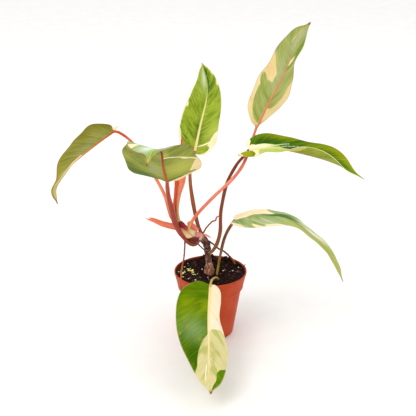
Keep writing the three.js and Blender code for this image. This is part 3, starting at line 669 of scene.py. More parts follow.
def line_field(grid, lines, rows):
    """How far each point lies inside the lines, in millimetres. A line is its width and its path."""
    field = np.full(grid["x"].shape, -FIELD_REACH)
    for width, path in lines:
        field = np.maximum(field, 0.5 * width - from_path(grid, path, rows))
    return field


def tone_field(grid, tones, rows):
    """A soft share made of round spots, each in percent, with the share at its centre."""
    field = np.zeros(grid["x"].shape)
    for *spot, share in tones:
        field = np.maximum(field, share * PERCENT * np.exp(-from_middle(grid, spot, rows) ** 2))
    return field


TONES = ("dark_tones", "yellow_tones", "sheen_tones")


def add_blade(leaf_name, leaf, looks, seed):
    grid = blade_grid(leaf, seed)
    x, along, length = grid["x"], grid["along"], grid["length"]
    thinning = np.abs(grid["stop"]) ** BLADE["edge_sharpness"]
    half = 0.5 * (BLADE["thickness"] - (BLADE["thickness"] - BLADE["edge_thickness"]) * thinning)
    taper = 1 - BLADE["rib_taper"] * along
    width = BLADE["rib_half_width"] * (1 - BLADE["rib_narrowing"] * along)
    rib = BLADE["rib_under"] * taper * np.sqrt(np.clip(1 - (x / width) ** 2, 0, 1))
    channel = BLADE["channel"] * taper * np.exp(-(x / BLADE["channel_reach"]) ** 2)
    upper = grid["at"] + grid["normal"] * (half - channel)[..., None]
    under = grid["at"] - grid["normal"] * (half + rib)[..., None]

    rows = looks["rows_by"]
    cream, pale = patch_field(grid, looks, "cream", rows), patch_field(grid, looks, "pale", "along")
    fields = {
        "leaf_place": joined(grid["vein"] * length, grid["signed_x"], grid["vein"] * VEINS),
        "leaf_near": joined(x / width, grid["edge"], along),
        "leaf_tones": joined(*(tone_field(grid, looks[tones], rows) for tones in TONES)),
        "leaf_patches": joined(cream, pale, line_field(grid, looks["lines"], rows)),
    }
    name = "blade_" + leaf_name
    faces = shell_faces(*x.shape)
    mesh = make_mesh(name, [upper.reshape(-1, 3), under.reshape(-1, 3)], faces)
    add_fields(mesh, {key: np.vstack([values.reshape(-1, 3)] * 2) for key, values in fields.items()})
    materials = [blade_paint(name + "_" + face, looks, looks[face], seed) for face in ("upper", "under")]
    upper_faces = (x.shape[0] - 1) * (x.shape[1] - 1)
    parts = [0] * upper_faces + [1] * (len(faces) - upper_faces)
    dress(linked(name, mesh), materials, "leaf_" + leaf_name, BLADE["crease"], parts)


def blade_paint(name, looks, face, seed):
    """Streaks along the side veins, then cream and pale patches, lines, the rib, the margin and the tip."""
    paint = Paint(name, specular=face["specular"])
    place = paint.field("leaf_place")
    from_rib, from_margin, share = paint.axes(paint.field("leaf_near"))
    dark, yellow, sheen = paint.axes(paint.field("leaf_tones"))
    cream_field, pale_field, lines = paint.axes(paint.field("leaf_patches"))
    shift = (seed * 13.7, seed * 7.1, seed * 3.3)

    def drawn_out(across_veins, along_veins, detail=3.0, roughness=0.6):
        stretched = paint.scaled(place, (across_veins, along_veins, 0), shift)
        return paint.noise(stretched, 1, detail, roughness)

    streaks = drawn_out(0.9, 0.045)
    fine = drawn_out(2.2, 0.12)
    clouds = drawn_out(0.07, 0.045, roughness=0.5)
    flecks = drawn_out(0.55, 0.15, detail=2.0)
    contrast = looks["contrast"]
    tone = paint.line(streaks, contrast, paint.line(clouds, 0.8, 0.1 - 0.5 * contrast))
    vein_number = paint.axes(place)[2]
    vein = paint.step(paint.math("PINGPONG", vein_number, 0.5), 0.07, 0.0)
    small_vein = paint.step(paint.math("PINGPONG", paint.times(vein_number, 4), 0.5), 0.3, 0.0)
    veins = paint.math("MAXIMUM", vein, paint.times(small_vein, 0.35))
    green = paint.coats(
        paint.ramp(tone, "22 {dark}, 50 {green}, 80 {light}".format(**face)),
        (paint.step(flecks, 0.52, 0.66, looks["flecks"]), face["dark"]),
        (dark, face["dark"]),
        (yellow, face["yellow"]),
        # Painted sheen: pale patches that stand for gloss and reflections of the lights
        (sheen, face["sheen"]),
        (paint.times(veins, face["vein_share"]), face["vein"]),
    )

    def ragged_edge(field):
        return paint.wander(paint.wander(field, streaks, 2 * looks["ragged"]), clouds, looks["ragged"])

    cream_edge, pale_edge = ragged_edge(cream_field), ragged_edge(pale_field)
    pale = paint.coats(
        face["pale"],
        (paint.step(streaks, 0.42, 0.66, 0.7), face["pale_vein"]),
        (paint.step(clouds, 0.5, 0.62, 0.5), face["yellow"]),
    )
    cream = paint.coats(
        face["cream"],
        (paint.step(clouds, 0.35, 0.65), face["cream_warm"]),
        (paint.step(fine, 0.55, 0.8, 0.2), face["pale"]),
        (paint.step(pale_edge, -0.4, 0.4), pale),
    )
    from_rib = paint.times(from_rib, looks["rib_thinness"])
    base = paint.coats(
        green,
        (paint.step(cream_edge, -1.8, 0.0, 0.4), face["light"]),
        (paint.step(cream_edge, -0.25, 0.25), cream),
        # Lines: cream lines on most blades, and on blade e painted gloss highlights
        (paint.step(paint.line(streaks, 0.8, lines), 0.0, 0.8, 0.9), face["line"]),
        (paint.step(from_rib, 1.15, 0.75), paint.ramp(share, face["rib"])),
        (paint.times(paint.step(from_margin, 0.9, 0.3), face["margin_share"]), face["margin"]),
        (paint.step(share, looks["tip_from"], 0.995), looks["tip"]),
        (paint.step(paint.specks(place, 14), 1.6, 0.9, looks["freckles"]), "#dc8448"),
    )
    rough = paint.line(fine, 0.18, face["roughness"] - 0.09)
    relief = paint.line(fine, 0.25, paint.times(veins, face["vein_relief"]))
    return paint.finish(base, rough, relief, 0.3, 0.7)


# What a blade's faces have in common. The rib's colours run from the petiole to the tip. Patches,
# outlines, cuts, lines and tones are places on the blade in percent. The sheen colour and sheen tones
# are painted sheen: pale patches that stand for gloss and reflections of the lights.
UPPER = dict(
    dark="#4c7010", green="#7f9618", light="#a3b848", yellow="#b9c45a", vein="#b4c264", vein_share=0.3,
    vein_relief=-0.7, roughness=0.4, specular=0.09, sheen="#b4c89c", cream="#ffeecb", cream_warm="#fbe4ae",
    pale="#e0d68c", pale_vein="#b9be6a", line="#fff2d6", margin="#f0dca0", margin_share=0.4,
    rib="0 #f6deaa, 60 #dcd88c, 100 #a9b45c",
)
UNDER = dict(
    dark="#7a8236", green="#9c9f50", light="#b4b868", yellow="#bfc060", vein="#74813a", vein_share=0.35,
    vein_relief=0.7, roughness=0.5, specular=0.05, sheen="#b6bd92", cream="#f9e2ac", cream_warm="#f3d796",
    pale="#d4cc78", pale_vein="#b9b868", line="#fbe6ae", margin="#a86a44", margin_share=0.6,
    rib="0 #c4643c, 50 #cf8454, 100 #b9b062",
)
LEAF = dict(
    rows_by="vein", ragged=2.2, contrast=1.5, rib_thinness=1.0, tip="#8a5a30", tip_from=0.96, freckles=0.7,
    flecks=0.15, cream_outlines=[], cream_patches=[], pale_outlines=[], pale_patches=[], lines=[],
    dark_tones=[], yellow_tones=[], sheen_tones=[], cream_cuts=[], pale_cuts=[],
)


def look(upper=None, under=None, **rest):
    return {**LEAF, **rest, "upper": {**UPPER, **(upper or {})}, "under": {**UNDER, **(under or {})}}


LOOKS = {
    "a": look(
        under=dict(
            dark="#79772e", green="#999648", light="#aeaa62", vein="#7c7832", pale="#cfcb94",
            pale_vein="#b4b47c", rib="0 #c8502c, 25 #d8764e, 45 #e09c6c, 60 #ecca94, 100 #b8904e",
        ),
        cream_patches=[(8, 10, 75, 50), (85, 40, 70, 55)], pale_patches=[(80, 35, 60, 100)],
        lines=[(2.6, [(62, -8), (72, -12), (82, -16)])],
        dark_tones=[(25, 25, -100, 30, 70), (95, 10, -80, 60, 50)], yellow_tones=[(80, 10, -40, 40, 30)],
        sheen_tones=[(50, 20, -30, 30, 25)], rib_thinness=1.25, tip="#8a4e2a", tip_from=0.93, freckles=0.3,
        contrast=1.0,
    ),
    "b": look(
        upper=dict(
            dark="#5a8420", green="#8fae5c", light="#b4ca86", sheen="#dfe8d2", yellow="#b4c838",
            margin="#c8785a", margin_share=0.9, rib="0 #b8c878, 100 #b4c838",
        ),
        under=dict(
            dark="#5f7630", green="#989f54", light="#b6b85c", vein="#667430", line="#fff0c2",
            yellow="#c0c462", specular=0.03, cream="#fdeaba", cream_warm="#f9e0a6",
            rib="0 #c46a48, 35 #b5603f, 60 #8c3a28, 100 #9a6a40",
        ),
        cream_outlines=[
            [(-5, 0), (5, -8), (12, -30), (17, -60), (23, -85), (30, -93), (36, -110), (-5, -110)],
            [
                (31, -68), (36, -72), (40, -78), (46, -88), (47, -110), (26, -110), (27, -90), (30, -84),
                (28, -74),
            ],
        ],
        cream_patches=[(75.5, 2.2, 100, 28), (10, 3, 70, 8)],
        lines=[
            (2.8, [(67.5, -3), (66, -25), (62, -50), (56, -75), (48, -97)]),
            (3.5, [(58, -62), (53, -85), (47, -97)]),
        ],
        dark_tones=[
            (17, 5, -40, 35, 150), (20, 14, 85, 50, 200), (60, 4, 35, 30, 60), (75, 8, -60, 50, 20),
            (93, 4, 0, 60, 80),
        ],
        yellow_tones=[(71.5, 3.5, -12, 14, 90), (42, 16, -45, 60, 100), (96, 4, 0, 20, 90)],
        sheen_tones=[(85, 6, 45, 50, 110), (84, 5, -30, 40, 60), (45, 10, 25, 15, 50)], ragged=1.6,
        freckles=0.2, contrast=0.8, flecks=0.3,
    ),
    "c": look(
        upper=dict(
            dark="#3c6010", green="#98ac36", light="#b0c054", vein="#bccb6c", sheen="#dae4b8",
            specular=0.05, rib="0 #f8c8a0, 12 #f4dca2, 50 #e4dc90, 68 #b0bc60, 100 #a9b45c",
        ),
        cream_patches=[
            (18, 17, 100, 45), (14, 11, 38, 42, "off"), (27, 1.2, 45, 35), (76.5, 2, 102, 12),
            (90, 6, 104, 16), (35, 35, -103, 8), (53, 3, -100, 12), (25, 7, -100, 14), (8, 9, -95, 30),
            (5, 7, 105, 25),
        ],
        # The first three dark tones are painted shade: a dark strip right of the midrib near the tip, where
        # the blade turns away from the light
        dark_tones=[
            (95, 5, 30, 30, 160), (89, 5, 16, 16, 160), (84, 4, 10, 10, 140), (48, 14, -10, 14, 60),
            (40, 14, 12, 12, 50),
        ],
        yellow_tones=[(38, 10, 70, 35, 60)], sheen_tones=[(90, 8, -35, 30, 90)], contrast=1.0,
        rib_thinness=1.15, ragged=1.5, tip="#b8b070", tip_from=0.985, freckles=0.0, flecks=0.55,
    ),
    "d": look(
        under=dict(
            dark="#7a9830", green="#b0b66c", light="#c8cb82", vein="#929c50", sheen="#c2c49a",
            rib="0 #f28468, 50 #e88a68, 75 #b8a878, 92 #a8a878, 100 #a8503c",
        ),
        cream_outlines=[
            [(-5, 0), (45, 0), (40, -20), (39, -45), (42, -65), (47, -80), (53, -110), (-5, -110)],
        ],
        cream_cuts=[[(12, -5), (15, -30), (20, -50), (19, -25), (17, -5)]],
        cream_patches=[
            (33, 36, 100, 100), (62, 6, 70, 45), (40, 20, 20, 60, "off"), (50, 5, 60, 35, "off"),
            (63, 14, 0, 36, "off"), (77.5, 2.2, -22, 25),
        ],
        lines=[(1.6, [(85, 53), (90, 57), (96, 60)])],
        dark_tones=[(77, 3.5, -50, 40, 180), (82, 3, -70, 35, 180), (88, 8, 95, 30, 30)],
        sheen_tones=[(90, 8, 20, 35, 70), (68, 14, 20, 30, 50)], ragged=2.6, contrast=1.0, rib_thinness=1.5,
        tip="#8a3c30", tip_from=0.975, freckles=0.3,
    ),
    "e": look(
        upper=dict(
            dark="#2c540a", green="#587e04", light="#7c9a12", yellow="#9ca014", specular=0.03,
            # Blade e's line colour is the near-white of its painted gloss highlights
            pale="#bfd070", pale_vein="#acc062", margin="#b09834", line="#f4f8f0", margin_share=0.8,
            rib="0 #f6deaa, 25 #dcd88c, 50 #7c9a20, 100 #7c9a20",
        ),
        under=dict(dark="#84903a", green="#99a242", light="#acb45a", margin="#eee6b4", margin_share=0.95),
        cream_patches=[
            (8, 17, -12, 28), (5, 7, -70, 50), (33, 26, 55, 90), (10, 12, 60, 60, "off"), (8, 5, 105, 25),
        ],
        pale_patches=[(44, 36, 60, 120)],
        # These two lines are painted highlights: gloss streaks of the lights on the blade
        lines=[(2.0, [(40, -12), (45, -30), (50, -45)]), (1.5, [(50, -20), (54, -32), (58, -40)])],
        dark_tones=[(30, 20, -40, 40, 90), (85, 10, -10, 30, 80), (60, 10, -20, 25, 60)],
        yellow_tones=[(80, 22, -90, 25, 80), (35, 12, -95, 22, 60), (10, 10, 60, 60, 140)], ragged=1.4,
        contrast=1.9, tip="#c8a890", tip_from=0.975, freckles=0.0,
    ),
    "f": look(
        upper=dict(
            dark="#3a681e", green="#a8bc74", light="#c2d094", yellow="#b2b25c", pale="#dcdc9c",
            sheen="#ece9ca", rib="0 #88a864, 100 #88925a",
        ),
        cream_outlines=[
            [
                (-5, 60), (5, 15), (15, 0), (28, -10), (33, -32), (44, -38), (46, -50), (40, -66),
                (32, -85), (28, -110), (-5, -110),
            ],
        ],
        cream_patches=[(27, 3, 95, 30), (38, 7, 103, 20), (10, 6, 90, 30)],
        # The dark tones at rows 60 and 70 by the midrib are partly the blade's own darker green, partly
        # painted shade along the crease
        dark_tones=[
            (52, 8, -35, 35, 160), (20, 6, 40, 40, 30), (82, 5, 30, 50, 90), (60, 6, -15, 25, 130),
            (70, 5, 10, 20, 100),
        ],
        yellow_tones=[(88, 14, 30, 120, 100), (60, 10, 80, 40, 120), (72, 10, 70, 40, 100)],
        sheen_tones=[(62, 5, -75, 25, 90), (74, 5, -45, 50, 110), (40, 6, 60, 30, 40)], ragged=1.8,
        contrast=1.9, rib_thinness=2.4, tip="#a88a4a", tip_from=0.94, freckles=0.0,
    ),
    "g": look(
        upper=dict(
            dark="#466406", green="#628406", light="#869c1c", vein="#7a9830", specular=0.02,
            cream="#ffe6cc", cream_warm="#fde2bc", pale="#ddd098", pale_vein="#b4b87a", yellow="#98a61c",
            sheen="#90a878", rib="0 #f0d890, 40 #f0dca4, 70 #ecd49c, 100 #d0c080",
        ),
        rows_by="along",
        cream_outlines=[
            [
                (-5, 0), (44.5, 0), (52, 27), (60, 46), (68, 62), (75, 75), (84, 110), (105, 110),
                (105, -110), (-5, -110),
            ],
        ],
        cream_cuts=[[(77, -110), (78, -73), (82, -58), (89, -68), (93, -62), (97, -55), (97, -110)]],
        pale_outlines=[
            [(44.5, 110), (44.5, 0), (41.5, -15), (41.5, -70), (47, -110), (110, -110), (110, 110)],
        ],
        lines=[(3, [(74, 16), (80, 28), (88, 50)]), (1.6, [(70, -6), (80, -20)])],
        dark_tones=[(66, 14, 60, 50, 120), (7, 10, 50, 50, 50), (35, 6, 30, 30, 40)],
        yellow_tones=[(22, 12, 65, 40, 40), (20, 6, 10, 20, 50)], sheen_tones=[(42, 10, 50, 40, 50)],
        ragged=1.4, freckles=0.9,
    ),
}


def make_blades():
    for seed, name in enumerate(LEAVES, start=1):
        add_blade(name, LEAVES[name], LOOKS[name], seed)


# Petioles
def stalk_paint(name, stops, streak, blush_and_painted_shade, roughness=0.25, painted_shade_side=0.5):
    """A smooth skin with long streaks, fine dots and, by the given share, painted shade: one side is
    darkened to stand for the shaded side, partly as the stalk's own darker back.
    """
    paint = Paint(name, specular=0.35)
    around = paint.field("around")
    streaks = paint.noise(paint.scaled(around, (0.9, 0.9, 0.06)), 1, 3.0, 0.6)
    clouds = paint.noise(around, 14)
    base = paint.coats(
        paint.ramp(paint.wander(paint.field("share", "Fac"), clouds, 0.25), stops),
        (paint.step(streaks, 0.5, 0.72, 0.45), streak),
        (paint.step(streaks, 0.48, 0.3, 0.4), blush_and_painted_shade),
        (paint.step(paint.specks(around, 2.6), 0.35, 0.15, 0.35), streak),
        # Painted shade: one side of the stalk darker, partly its own darker back
        (paint.step(paint.axes(around)[1], 0.8, 2.4, painted_shade_side), blush_and_painted_shade),
    )
    return paint.finish(base, paint.line(clouds, 0.2, roughness - 0.1), streaks, 0.25, 0.8)


# The colours from the foot to the blade, the streaks' colour, and the colour of the dark streaks and of the
# painted shade on one side
PETIOLE_LOOKS = {
    "a": ("0 #e5744a, 30 #f08a62, 60 #ee7c50, 80 #d86038, 100 #c24824", "#f8a47c", "#b83c20"),
    "b": ("0 #8c4a2c, 25 #963a2a, 70 #a8443a, 100 #b4543e", "#c47a54", "#6a2a22"),
    "c": ("0 #8a4a24, 50 #a65c30, 100 #bc6c40", "#d09868", "#7c3420"),
    "d": (
        "0 #e8c264, 4 #f0a060, 9 #ec7452, 45 #ee8870, 62 #d46a52, 75 #cc5e48, 85 #e07e66, 100 #e2846a",
        "#ffb496", "#c04434",
    ),
    "e": ("0 #a0843c, 3 #a07c3c, 11 #a4602c, 60 #964c20, 100 #80341a", "#c07c4c", "#6c2c14"),
    "f": ("0 #a89048, 30 #ac9048, 50 #8c6030, 70 #743c14, 100 #8a5024", "#c8a868", "#6a4420"),
    "g": ("0 #9c8c3c, 40 #b8a048, 100 #dcc470", "#dccc84", "#94803a"),
}
PETIOLE_OVERRUN = {"e": 0.5, "f": 0.5}


def make_petioles():
    for seed, (name, keys) in enumerate(PETIOLES.items(), start=40):
        def relief(along, angle):
            away = (angle - math.pi) / PETIOLE_CHANNEL["breadth"]
            channel = np.exp(-away ** 2) * np.exp(-along / PETIOLE_CHANNEL["length"])
            return lumpy(along, angle, PETIOLE_LUMPS, seed) - PETIOLE_CHANNEL["depth"] * channel

        add_stalk("stalk_" + name, keys, stalk_paint("stalk_" + name + "_skin", *PETIOLE_LOOKS[name]),
                  "petiole_" + name, relief,
                  overrun=PETIOLE_OVERRUN.get(name, STALK["overrun"]))


# Cane. Its bark goes by the share of its length, from the buried foot to the spear. The last third,
# which the newest sheaths have left, is maroon and cream.
DARK_BARK = (
    "0 #2c1c18, 34 #7c4c3e, 44 #6c3e34, 56 #3c2624, 66 #54342c, 71 #6a4038, 73 #e8b8a4, 74.5 #f0c8b0, "
    "76 #5c1418, 80 #701c20, 82 #d8bc90, 88 #e6c888, 91 #b06858, 95 #a02c2c, 100 #7a1c20"
)
LIGHT_BARK = (
    "0 #5c4038, 32 #c48c68, 42 #d0a886, 50 #7c5446, 56 #6c4a3e, 66 #7c5c4a, 71 #946450, 73 #f4d0b8, "
    "74.5 #f8dcc4, 76 #8c2a2c, 80 #a04040, 82 #ecd4a8, 88 #f0dca4, 91 #cc8474, 95 #b83c38, 100 #983038"
)


def cane_paint():
    """Rough bark with pale ring scars."""
    paint = Paint("cane_bark", roughness=0.6)
    around = paint.field("around")
    _, side, along = paint.axes(around)
    share = paint.field("share", "Fac")
    bark = paint.noise(paint.scaled(around, (0.35, 0.35, 0.12)), 1, 5.0, 0.65)
    grit = paint.noise(around, 1.6, 4.0, 0.6)
    wander = paint.wander(share, bark, 0.06)
    lining = paint.times(paint.step(side, LINING_SIDE, LINING_SIDE + 2.0), paint.step(share, 0.75, 0.76))
    layers = [(paint.step(bark, 0.42, 0.62), paint.ramp(wander, LIGHT_BARK)),
              (paint.times(lining, paint.step(share, 0.81, 0.8)), "#f08c86")]
    for at in RING_SCARS["at"]:
        scar = paint.step(paint.math("ABSOLUTE", paint.math("SUBTRACT", along, at)), 1.0, 0.4)
        layers.append((paint.times(scar, paint.step(grit, 0.4, 0.6, 0.7)), "#b08e76"))
    base = paint.coats(paint.ramp(wander, DARK_BARK), *layers)
    return paint.finish(base, None, paint.line(bark, 0.7, paint.times(grit, 0.3)), 0.9)


def make_cane():
    def relief(along, angle):
        nearest = np.min([np.abs(along - at) for at in RING_SCARS["at"]], axis=0)
        scar = RING_SCARS["height"] * np.maximum(0, 1 - nearest / RING_SCARS["half_width"])
        return scar + lumpy(along, angle, CANE_LUMPS, 71, 72, round_it=True)

    add_stalk("cane_stem", CANE, cane_paint(), "cane", relief, steps=24, sides=48)


# New leaf and sheaths
def make_rolled_leaf():
    stops = "0 #c9b45c, 12 #e89860, 35 #f48a62, 70 #ee7450, 100 #dc4a34"
    paint = stalk_paint("rolled_leaf_skin", stops, "#f8b08c", "#a82c22", roughness=0.42, painted_shade_side=0.0)

    def relief(along, angle):
        turn = (angle + along * SPEAR_ROLL["twist"] - SPEAR_ROLL["start_angle"]) % TURN / TURN
        out = SPEAR_ROLL["step"] * turn - SPEAR_ROLL["sunk"]
        return out * np.clip(along / SPEAR_ROLL["fades_in"], 0, 1)

    add_stalk("rolled_leaf", SPEAR, paint, "new_leaf", relief, steps=12, sides=40)


def add_sheath(name, sheath, material, seed):
    """A curved strip with an outer and an inner face, ragged at its far end and thin at its edges."""
    dense = spline(sheath["centre"], SHEATH["steps"])
    along = distances(dense[:, :3])
    u = np.linspace(0, 1, SHEATH["columns"])[None, :]
    t = np.linspace(0, 1, SHEATH["rows"])[:, None]
    from_edge = np.abs(2 * u - 1)
    fray = 0.5 + 0.5 * ripples(joined(u * SHEATH["fray_breadth"], 0), SHEATH["fray_length"], seed)
    pointed = sheath["point"] * from_edge ** SHEATH["point_sharpness"]
    end = 1 - sheath["torn"] * np.clip(fray, 0, 1) - pointed
    distance = t * end * along[-1]
    row = row_at(dense, along, distance)
    ahead = row_at(dense[:, :3], along, distance + SHEATH["tangent_reach"])
    tangent = unit(ahead - row_at(dense[:, :3], along, distance - SHEATH["tangent_reach"]))
    opens = np.array(sheath["opens"])
    open_way = unit(opens - tangent * dot(opens, tangent))
    side = np.cross(tangent, open_way)
    angle = (math.pi + math.radians(sheath["arc"]) * (u - 0.5))[..., None]
    creased = joined(distance * SHEATH["wrinkle_pace"], u * SHEATH["wrinkle_breadth"])
    wrinkles = ripples(creased, SHEATH["wrinkle_length"], seed + 1)
    radius = row[..., 3] + SHEATH["wrinkle"] * wrinkles - SHEATH["seat"]
    at_edge = 1 - SHEATH["edge_thinning"] * from_edge ** SHEATH["edge_sharpness"]
    at_end = 1 - SHEATH["end_thinning"] * t ** SHEATH["end_sharpness"]
    thickness = sheath["thickness"] * (at_edge * at_end)
    faces = []
    for spread in (radius, radius - thickness):
        out = (open_way * np.cos(angle) + side * np.sin(angle)) * spread[..., None]
        faces.append((row[..., :3] + out).reshape(-1, 3))
    strip = joined(distance, u * SHEATH["strip_breadth"], 0).reshape(-1, 3)
    mesh = make_mesh("wrap_" + name, faces, shell_faces(*distance.shape))
    add_fields(mesh, {
        "around": np.vstack([strip, strip]),
        "inside": np.repeat([0, 1], distance.size),
        "share": np.tile((t + 0 * u).ravel(), 2),
    })
    dress(linked("wrap_" + name, mesh), [material], name, SHEATH["crease"])


def sheath_paint(name, stops, inner, edge):
    paint = Paint(name, roughness=0.5)
    strip = paint.field("around")
    streaks = paint.noise(paint.scaled(strip, (0.06, 1.1, 1)), 1, 3.0, 0.6)
    base = paint.coats(
        paint.ramp(paint.wander(paint.field("share", "Fac"), paint.noise(strip, 9, 3.0), 0.3), stops),
        (paint.times(paint.field("inside", "Fac"), 0.85), inner),
        (paint.step(streaks, 0.52, 0.75, 0.5), edge),
    )
    return paint.finish(base, None, streaks, 0.4)


# The outer face's colours from the foot to the torn end, the inner face and the streaks
SHEATH_LOOKS = {
    "spear_sheath": ("0 #c8b058, 12 #dc8a50, 40 #d4502e, 100 #c24a2c", "#8c2c1c", "#f0a070"),
    "old_sheath": ("0 #d8603f, 50 #ea7650, 93 #ee8a68, 100 #b8402c", "#f0906c", "#fbb898"),
    "torn_sheath": ("0 #e08a70, 60 #e87468, 100 #f09484", "#e8a890", "#f8c0b0"),
    "petiole_b_sheath": (
        "0 #5c1418, 38 #701c20, 47 #ead29a, 62 #e8c494, 80 #dca07c, 100 #b8604c", "#e0a684", "#f0d4ac",
    ),
}


def make_sheaths():
    for seed, (name, sheath) in enumerate(SHEATHS.items(), start=20):
        add_sheath(name, sheath, sheath_paint(name + "_skin", *SHEATH_LOOKS[name]), seed)


# Aerial roots and twig
# The colours from the foot to the tip, the streaks' colour, and the colour of the dark streaks and of the
# painted shade on one side
ROOT_LOOKS = {
    "root_left": ("0 #6a2c28, 30 #8a4430, 80 #b05a2c, 100 #8a4a28", "#c47a48", "#5a2620"),
    "root_right": ("0 #4a2a22, 30 #7c3c1c, 80 #a85a28, 100 #8a5a38", "#c07838", "#4a2418"),
    "root_curl": ("0 #9a4c28, 50 #8a4422, 70 #c04c40, 100 #e06a64", "#d08058", "#7a3420"),
    "root_black": ("0 #2a1e1c, 100 #3c2a26", "#5a4038", "#181010"),
    "root_short": ("0 #e08068, 100 #e89888", "#f0b0a0", "#c06050"),
}


def make_roots():
    for seed, (name, keys) in enumerate(ROOTS.items(), start=90):
        paint = stalk_paint(name + "_skin", *ROOT_LOOKS[name], roughness=0.6)

        def relief(along, angle):
            return lumpy(along, angle, ROOT_LUMPS, seed, seed + 9)

        add_stalk("fine_" + name, keys, paint, name, relief, steps=14, sides=12)


def make_twig():
    # The last colour is that of the dark streaks and of the painted shade on one side
    paint = stalk_paint("twig_bark", "0 #2e211b, 100 #4a382e", "#6b5548", "#1c1411", roughness=0.8)

    def relief(along, angle):
        return lumpy(along, angle, TWIG_LUMPS, 61) - TWIG_SHRINKING

    add_stalk("fine_twig", TWIG, paint, "twig", relief, steps=14, sides=12)


# Pot
def pot_paint():
    paint = Paint("pot_plastic", specular=0.08)
    place = paint.place()
    height = paint.axes(place)[2]
    scuffs = paint.noise(paint.scaled(place, (1, 1, 0.25)), 2.5, 4.0, 0.65)
    blotches = paint.noise(place, 6, 5.0, 0.7)
    base = paint.coats(
        paint.ramp(paint.noise(place, 30, 3.0), "30 #b84d34, 70 #c6593f"),
        (paint.step(scuffs, 0.56, 0.75, 0.15), "#d98a6c"),
        # Blotchy darkening towards the top of the rim and towards the foot
        (paint.times(paint.step(blotches, 0.5, 0.7), paint.step(height, 98.0, 112.0, 0.35)), "#6a3a2c"),
        (paint.times(paint.step(blotches, 0.52, 0.72), paint.step(height, 14.0, 0.0, 0.4)), "#8a4432"),
    )
    return paint.finish(base, paint.line(scuffs, 0.25, 0.36), paint.noise(place, 0.8), 0.12, 0.6)


def turned_rings(profile, segments):
    """Rings of points round the pot's axis, one for each radius and height."""
    angles = ring_angles(segments)
    return [joined(radius * np.cos(angles), radius * np.sin(angles), height) for radius, height in profile]


def make_pot():
    profile = [(at[0] + out, at[1] + up) for at, steps in POT_PROFILE for out, up in steps]
    points = [*turned_rings(profile, POT_SEGMENTS), (0, 0, 0), (0, 0, FLOOR)]
    piece = linked("pot_shell", make_mesh("pot_shell", points, ring_faces(len(profile), POT_SEGMENTS)))
    cut_drain_holes(piece)
    dress(piece, [pot_paint()], "pot", POT_CREASE)


def cut_drain_holes(piece):
    form = bmesh.new()
    radius, circle = DRAIN_HOLES["radius"] * MM, DRAIN_HOLES["circle"] * MM
    for angle in ring_angles(DRAIN_HOLES["count"]):
        rod = bmesh.ops.create_cone(form, cap_ends=True, segments=DRAIN_HOLES["segments"],
                                    depth=4 * FLOOR * MM, radius1=radius, radius2=radius)
        middle = (circle * math.cos(angle), circle * math.sin(angle), 0)
        bmesh.ops.translate(form, verts=rod["verts"], vec=middle)
    mesh = bpy.data.meshes.new("drain_cutter")
    form.to_mesh(mesh)
    form.free()
    cutter = linked("drain_cutter", mesh)
    cut = piece.modifiers.new("drain holes", "BOOLEAN")
    cut.operation = "DIFFERENCE"
    cut.solver = "EXACT"
    cut.object = cutter
    bpy.context.view_layer.update()
    evaluated = piece.evaluated_get(bpy.context.evaluated_depsgraph_get())
    piece.modifiers.clear()
    piece.data = bpy.data.meshes.new_from_object(evaluated)
    bpy.data.objects.remove(cutter)


# Soil
def soil_height(x, y):
    """Clods and mounds over the soil's level, with fine crumb on them."""
    u, v = x / CLOD["length"], y / CLOD["length"]
    waves = sum(np.sin(across * u + away * v + start) for across, away, start in CLOD_WAVES)
    height = SOIL_LEVEL + CLOD["height"] * waves / 3
    for mound_x, mound_y, mound_height, spread in SOIL_MOUNDS:
        height = height + mound_height * np.exp(-(np.hypot(x - mound_x, y - mound_y) / spread) ** 2)
    coarse, fine, finest = (size * ripples(joined(x, y), length, seed) for size, length, seed in SOIL_CRUMB)
    return height + np.abs(coarse) + fine + finest - SOIL_SETTLED


def soil_paint(name="peat", light="#5e3a2e"):
    paint = Paint(name, roughness=0.9, specular=0.12)
    place = paint.place()
    lumpy = paint.noise(place, 3.2, 5.0, 0.65)
    grit = paint.noise(place, 0.9, 4.0, 0.6)
    fibres = paint.noise(paint.scaled(place, (0.25, 1.3, 0.8)), 0.8, 3.0)
    base = paint.coats(
        paint.ramp(lumpy, f"35 #1a0d0b, 55 #341d19, 78 {light}"),
        (paint.step(fibres, 0.62, 0.72, 0.6), "#7a5040"),
    )
    relief = paint.line(lumpy, 0.6, paint.times(grit, 0.4))
    return paint.finish(base, paint.line(grit, 0.35, 0.62), relief, 1.4)


def make_soil():
    gap = WALL + SOIL_GAP
    foot = FLOOR + SOIL_GAP
    sides = [(8, foot), (BODY_FOOT[0] - 4.5, foot), (BODY_FOOT[0] - gap, BODY_FOOT[1] + 2),
             (BODY_TOP[0] - gap, BODY_TOP[1]), (BAND_FOOT[0] - gap - 0.2, BAND_FOOT[1] + 1)]
    top = [(SOIL_TOP_RADIUS * k / SOIL_RINGS, 0) for k in range(SOIL_RINGS, 0, -1)]
    rings = turned_rings(sides + top, SOIL_SEGMENTS)
    for ring in rings[len(sides):]:
        ring[:, 2] = soil_height(ring[:, 0], ring[:, 1])
    points = [*rings, (0, 0, foot), (0, 0, soil_height(0, 0))]
    mesh = make_mesh("peat_body", points, ring_faces(len(rings), SOIL_SEGMENTS))
    dress(linked("peat_body", mesh), [soil_paint()], "soil")


# Loose grains on the soil
def rough_ball():
    """The corners and faces of a ball with 42 corners."""
    form = bmesh.new()
    bmesh.ops.create_icosphere(form, subdivisions=2, radius=1)
    corners = np.array([v.co[:] for v in form.verts])
    faces = [[v.index for v in face.verts] for face in form.faces]
    form.free()
    return corners, faces


def turned(points, draw, lean):
    """The points turned about Z by any angle, after a lean of at most the given angle."""
    spin, tilt = draw.uniform(0, TURN), draw.uniform(-lean, lean)
    return points @ np.array(Matrix.Rotation(tilt, 3, "X")).T @ np.array(Matrix.Rotation(spin, 3, "Z")).T


